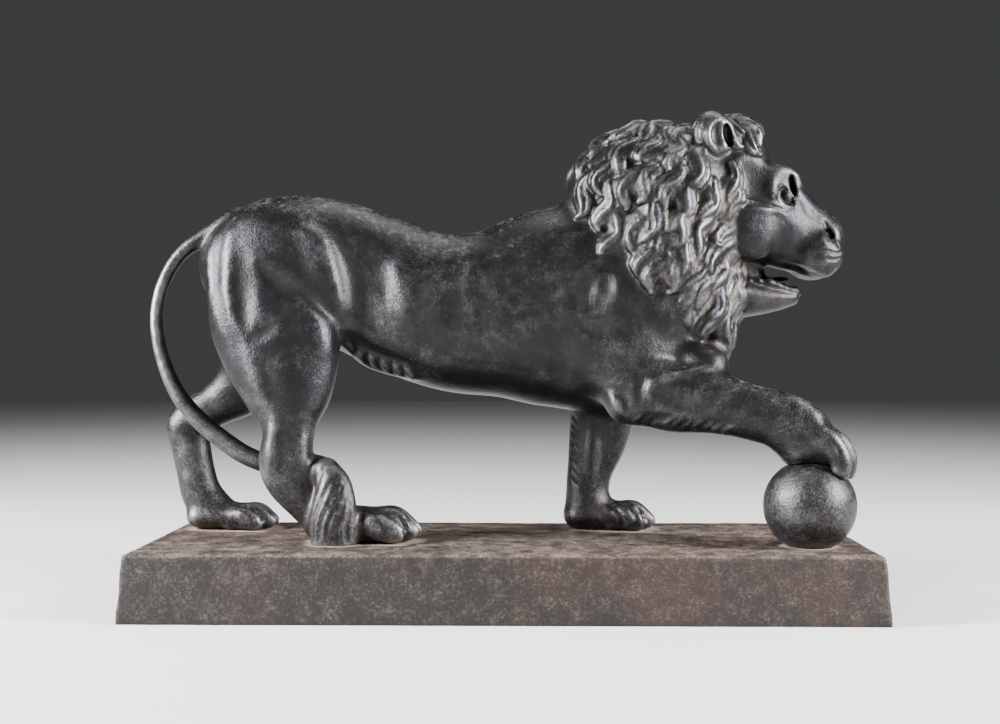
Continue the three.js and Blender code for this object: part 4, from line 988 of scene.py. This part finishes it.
def cast_lion(clay):
    """The lion's mesh, thinned to its limit, with what its material reads stored at each point."""
    points, faces = surface_of(clay)
    mesh = bpy.data.meshes.new("lion_casting")
    to_frame = np.array((0, LION_SIDE, PLINTH_HEIGHT))
    mesh.from_pydata(((points + to_frame) / 1000).tolist(), [], faces.tolist())
    lion = bpy.data.objects.new("lion_casting", mesh)
    bpy.context.collection.objects.link(lion)
    make_active(lion)
    bpy.ops.object.modifier_add(type="DECIMATE")
    lion.modifiers[-1].ratio = MOST_TRIANGLES / (2 * len(faces))
    bpy.ops.object.modifier_apply(modifier=lion.modifiers[-1].name)
    bpy.ops.object.shade_smooth()

    points = read_points(mesh) * 1000 - to_frame
    near = clay.averaged(np.clip(clay.value, -3, 3), 2, times=2)
    wide = clay.averaged(near, 4, times=2)
    crest = clay.sample(near, points)
    rising = clay.sample(wide, points)
    on_left = np.column_stack([points[:, 0], np.abs(points[:, 1]), points[:, 2]])
    to_ear = np.linalg.norm(on_left - EAR_MIDDLE, axis=1)
    soil = clay.sample(clay.soil, points) * np.clip(to_ear / EAR_CLEAN, 0, 1) ** 2
    soil = np.maximum(soil, LEG_DUST * np.clip((LEG_DUST_TOP - points[:, 2]) / LEG_DUST_DEPTH, 0, 1))
    # In the mouth the crest is lowered so that its dust shows; over the lower jaw it is lowered as painted
    # shade, keeping the iron dark, and the jaw gets some dust
    in_mouth = round_place(points, MOUTH, MOUTH_REACH)
    jaw_dust_and_shade = round_place(points, JAW, JAW_REACH)
    store(mesh, "soil", np.maximum(soil, np.maximum(in_mouth, jaw_dust_and_shade * JAW_DUST)))
    store(mesh, "crest", crest - np.maximum(in_mouth, jaw_dust_and_shade * JAW_PAINTED_SHADE))
    store(mesh, "rising", rising)
    return lion


def make_active(piece):
    bpy.ops.object.select_all(action="DESELECT")
    bpy.context.view_layer.objects.active = piece
    piece.select_set(True)


def read_points(mesh):
    flat = np.empty(3 * len(mesh.vertices), np.float32)
    mesh.vertices.foreach_get("co", flat)
    return flat.reshape(-1, 3).astype(float)


def store(mesh, name, values):
    """Keeps one number at each point of the mesh, for its material to read."""
    mesh.attributes.new(name, "FLOAT", "POINT").data.foreach_set("value", values.astype(np.float32))


def wander(piece, size, reach):
    """Makes a cast surface slightly uneven: swells of the given size, reach from lowest to highest."""
    swells = bpy.data.textures.new("swells", "CLOUDS")
    swells.noise_scale = size
    bpy.ops.object.modifier_add(type="DISPLACE")
    uneven = piece.modifiers[-1]
    uneven.texture = swells
    uneven.strength = reach
    bpy.ops.object.modifier_apply(modifier=uneven.name)


def bevel_edges(piece, picked, radius, segments):
    """Rounds the edges that picked chooses by their two ends."""
    bpy.ops.object.mode_set(mode="EDIT")
    bpy.ops.mesh.select_all(action="DESELECT")
    shape = bmesh.from_edit_mesh(piece.data)
    for edge in shape.edges:
        edge.select_set(picked(*(end.co for end in edge.verts)))
    bmesh.update_edit_mesh(piece.data)
    bpy.ops.mesh.bevel(offset=radius, segments=segments)
    bpy.ops.object.mode_set(mode="OBJECT")


def make_plinth():
    low = np.array((PLINTH_LENGTH / 2 + PLINTH_DRAFT, PLINTH_WIDTH / 2 + PLINTH_DRAFT)) / 1000
    high = np.array((PLINTH_LENGTH, PLINTH_WIDTH)) / 2000
    top = PLINTH_HEIGHT / 1000
    bpy.ops.mesh.primitive_cube_add(size=2)
    slab = bpy.context.object
    slab.name = slab.data.name = "plinth_casting"
    for corner in slab.data.vertices:
        edge = high if corner.co.z > 0 else low
        corner.co = (corner.co.x * edge[0], corner.co.y * edge[1], top if corner.co.z > 0 else 0)
    bevel_edges(slab, lambda a, b: abs(a.z - b.z) > top / 2, PLINTH_CORNER / 1000, 8)
    bevel_edges(slab, lambda a, b: min(a.z, b.z) > top * 0.99, PLINTH_ARRIS / 1000, 4)
    bevel_edges(slab, lambda a, b: max(a.z, b.z) < top * 0.01, FOOT_ARRIS, 2)
    bpy.ops.object.modifier_add(type="REMESH")
    slab.modifiers[-1].voxel_size = PLINTH_VOXEL
    bpy.ops.object.modifier_apply(modifier=slab.modifiers[-1].name)
    for size, reach in PLINTH_SWELLS:
        wander(slab, size, reach)
    bpy.ops.object.shade_smooth()
    return slab


def make_ball():
    x, y, up = BALL_CENTRE
    centre = (x / 1000, y / 1000, (up + PLINTH_HEIGHT) / 1000)
    radius = BALL_RADIUS / 1000
    bpy.ops.mesh.primitive_uv_sphere_add(segments=96, ring_count=64, radius=radius, location=centre)
    ball = bpy.context.object
    ball.name = ball.data.name = "ball_casting"
    bpy.ops.object.transform_apply(location=True)
    for size, reach in BALL_SWELLS:
        wander(ball, size, reach)
    bpy.ops.object.mode_set(mode="EDIT")
    bpy.ops.mesh.select_all(action="SELECT")
    foot = (PLINTH_HEIGHT - FEET_SINK) / 1000
    bpy.ops.mesh.bisect(plane_co=(0, 0, foot), plane_no=(0, 0, -1), clear_outer=True, use_fill=True)
    bpy.ops.object.mode_set(mode="OBJECT")
    bpy.ops.object.shade_smooth()
    return ball


class Wire:
    """A value inside a material's nodes, so that its sums read as plain ones."""

    def __init__(self, paint, socket):
        self.paint = paint
        self.socket = socket

    def maths(self, operation, a, b):
        return self.paint.node("ShaderNodeMath", {0: a, 1: b}, operation=operation)

    def __add__(self, other):
        return self.maths("ADD", self, other)

    def __sub__(self, other):
        return self.maths("SUBTRACT", self, other)

    def __rsub__(self, other):
        return self.maths("SUBTRACT", other, self)

    def __mul__(self, other):
        return self.maths("MULTIPLY", self, other)

    def most(self, other):
        return self.maths("MAXIMUM", self, other)

    def ramp(self, low, high):
        """0 at low and 1 at high, smooth between them."""
        ends = {0: self, 1: low, 2: high, 3: 0.0, 4: 1.0}
        return self.paint.node("ShaderNodeMapRange", ends, interpolation_type="SMOOTHSTEP")

    __radd__ = __add__
    __rmul__ = __mul__


class Paint:
    """One material, with short ways to add the nodes that it is made of."""

    def __init__(self, name):
        self.material = bpy.data.materials.new(name)
        self.material.use_nodes = True
        self.tree = self.material.node_tree
        self.tree.nodes.clear()
        self.place = self.node("ShaderNodeTexCoord", {}, "Object")
        self.height = self.node("ShaderNodeSeparateXYZ", {"Vector": self.place}, "Z")

    def node(self, kind, inputs, output=0, **settings):
        made = self.tree.nodes.new(kind)
        for key, value in settings.items():
            setattr(made, key, value)
        for name, value in inputs.items():
            if isinstance(value, Wire):
                self.tree.links.new(value.socket, made.inputs[name])
            else:
                made.inputs[name].default_value = value
        return Wire(self, made.outputs[output])

    def stored(self, name):
        return self.node("ShaderNodeAttribute", {}, "Fac", attribute_name=name)

    def noise(self, size, detail=3.0, rough=0.55):
        """Cloudy noise from 0 to 1, with swells of about size, in metres."""
        inputs = {"Vector": self.place, "Scale": 1 / size, "Detail": detail, "Roughness": rough}
        return self.node("ShaderNodeTexNoise", inputs)

    def specks(self, size, edge):
        """Round specks about size apart, each 1 in its middle and 0 from edge outwards."""
        cells = self.node("ShaderNodeTexVoronoi", {"Vector": self.place, "Scale": 1 / size})
        return cells.ramp(edge, edge * 0.5)

    def blend(self, share, colour_a, colour_b):
        inputs = {0: share, 6: colour_a, 7: colour_b}
        return self.node("ShaderNodeMix", inputs, 2, data_type="RGBA")

    def bump(self, height, reach, strength=1.0):
        inputs = {"Height": height, "Distance": reach, "Strength": strength}
        return self.node("ShaderNodeBump", inputs)

    def finish(self, **sockets):
        inputs = {name.replace("_", " ").title(): value for name, value in sockets.items()}
        shader = self.node("ShaderNodeBsdfPrincipled", inputs)
        surface = self.tree.nodes.new("ShaderNodeOutputMaterial").inputs["Surface"]
        self.tree.links.new(shader.socket, surface)
        return self.material


def figure_iron():
    """Blackened cast iron: a fine sandy grain, crests rubbed bright, dust in the recesses, and painted shade
    on the lower jaw.
    """
    paint = Paint("figure_iron")
    crest, rising, upward, soil = (paint.stored(name) for name in ("crest", "rising", "upward", "soil"))
    grain = paint.noise(0.0008, 2.0, 0.8)
    pebble = paint.noise(0.0022, 3.0, 0.65)
    blotch = paint.noise(0.0065, 4.0, 0.65)
    patches = paint.noise(0.024, 4.0, 0.6)
    worn = (crest * 0.55 + blotch * 0.55 + patches * 0.5 + grain * 0.4 - 0.72).ramp(0, 0.9)
    sunk = (patches * 0.5 + blotch * 0.5 + pebble * 0.5 - crest * 0.8 - rising * 0.5).ramp(0.55, 1.2)
    settled = (upward * 0.45 + pebble * 1.1 + blotch * 0.5 + patches * 0.5).ramp(1.35, 1.75) * 0.4
    points = paint.specks(0.0022, 0.13) * (pebble + patches).ramp(0.9, 1.15) * 0.5
    film = paint.height.ramp(0.1, 0.03) * (grain * 0.7 + pebble * 0.5).ramp(0.4, 0.9) * 0.26
    held = soil * (0.13 + (patches + blotch * 0.4).ramp(0.6, 0.9) * 0.55)
    dust = (sunk * (0.1 + held)).most(settled).most(points).most(film)
    iron = paint.blend(worn, DARK_IRON, WORN_IRON)
    dirt = paint.blend(pebble.ramp(0.35, 0.7), DUST, PALE_DUST)
    return paint.finish(
        base_color=paint.blend(dust * 0.85, iron, dirt),
        metallic=0.9 - dust * 0.85,
        roughness=0.2 + grain * 0.24 + blotch * 0.14 - worn * 0.04 + dust * 0.35,
        normal=paint.bump(grain * 0.6 + pebble * 0.5 + blotch * 0.5, 0.00036, 0.75),
    )


def plinth_iron():
    """Unpolished cast iron: finely mottled grey and brown, dusty on top and round the feet, rusty in patches.
    """
    paint = Paint("plinth_iron")
    upward, ring = paint.stored("upward"), paint.stored("ring")
    grain = paint.noise(0.0006, 2.0, 0.7)
    mottle = paint.noise(0.0014, 3.0, 0.75)
    clouds = paint.noise(0.008, 5.0, 0.65)
    patches = paint.noise(0.05, 3.0, 0.5)
    top = upward.ramp(0.3, 0.9)
    speck = (mottle * 1.1 + clouds * 0.7 + grain * 0.3).ramp(0.85, 1.45)
    dust = (speck * 0.62 + top * (clouds * 1.3 - 0.25) + ring * 1.3).ramp(0.0, 1.3)
    rust = (patches + clouds * 0.25).ramp(0.55, 0.85)
    iron = paint.blend(rust * 0.7, PLINTH_IRON, RUSTY_IRON)
    pale = (grain.ramp(0.35, 0.75) + ring * 0.8).ramp(0, 1.4)
    soil = paint.blend(pale, PLINTH_DUST, PALE_PLINTH_DUST)
    return paint.finish(
        base_color=paint.blend(dust, iron, soil),
        metallic=0.55 - dust * 0.5,
        roughness=0.5 + dust * 0.35,
        normal=paint.bump(grain * 0.5 + mottle * 0.5 + clouds * 0.5, 0.0004, 0.9),
    )


def store_upward(piece):
    """Keeps how far each point of the piece faces up."""
    mesh = piece.data
    flat = np.empty(3 * len(mesh.vertices), np.float32)
    mesh.vertices.foreach_get("normal", flat)
    store(mesh, "upward", flat[2::3])


def ring_round_feet(mesh, clay):
    """1 on the plinth where the feet and the ball stand, and falling to 0 a few millimetres off."""
    points = read_points(mesh) * 1000 - np.array((0, LION_SIDE, PLINTH_HEIGHT))
    gap = clay.sample(clay.value, np.column_stack([points[:, :2], np.full(len(points), RING_LEVEL)]))
    to_ball = np.hypot(points[:, 0] - BALL_CENTRE[0], points[:, 1] + LION_SIDE - BALL_CENTRE[1])
    gap = np.minimum(gap, to_ball - BALL_FOOT)
    on_top = np.clip(points[:, 2] + 2, 0, 1)
    return on_top * np.clip(1 - gap / RING_REACH, 0, 1)


def dress(piece, node, material):
    piece.data.materials.clear()
    piece.data.materials.append(material)
    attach(piece, "root")
    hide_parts(node)


def add_light(name, place, size, power):
    lamp = bpy.data.lights.new(name, "AREA")
    lamp.shape = "RECTANGLE"
    lamp.size, lamp.size_y = size
    lamp.energy = power
    light = bpy.data.objects.new(name, lamp)
    light.location = place
    light.rotation_euler = (Vector(SOFTBOX_AIM) - Vector(place)).to_track_quat("-Z", "Y").to_euler()
    bpy.context.collection.objects.link(light)


def add_camera():
    lens = bpy.data.cameras.new("camera")
    lens.lens = CAMERA_LENS
    lens.sensor_width = CAMERA_SENSOR
    camera = bpy.data.objects.new("camera", lens)
    camera.location = CAMERA_PLACE
    camera.rotation_euler = [math.radians(turn) for turn in CAMERA_TURN]
    bpy.context.collection.objects.link(camera)
    bpy.context.scene.camera = camera


def add_studio():
    bpy.ops.mesh.primitive_plane_add(size=FLOOR_SIZE)
    floor = bpy.context.object
    floor.name = "floor"
    paint = Paint("floor_paint")
    tone = paint.blend(paint.noise(0.4), *FLOOR_TONES)
    floor.data.materials.append(paint.finish(base_color=tone, roughness=0.7))

    world = bpy.data.worlds.new("studio")
    world.use_nodes = True
    back = world.node_tree.nodes["Background"]
    back.inputs["Color"].default_value = SKY_COLOUR
    back.inputs["Strength"].default_value = SKY_STRENGTH
    bpy.context.scene.world = world
    for softbox in SOFTBOXES:
        add_light(*softbox)
    add_camera()


# The lion comes first, because the dust on the plinth follows its feet
clay = shape_lion()
lion = cast_lion(clay)
ball = make_ball()
plinth = make_plinth()
iron = figure_iron()
for piece in (lion, ball, plinth):
    store_upward(piece)
store(plinth.data, "ring", ring_round_feet(plinth.data, clay))
for name in ("crest", "rising", "soil"):
    store(ball.data, name, np.full(len(ball.data.vertices), BALL_WEAR))
dress(lion, "lion", iron)
dress(ball, "ball", iron)
dress(plinth, "plinth", plinth_iron())
add_studio()
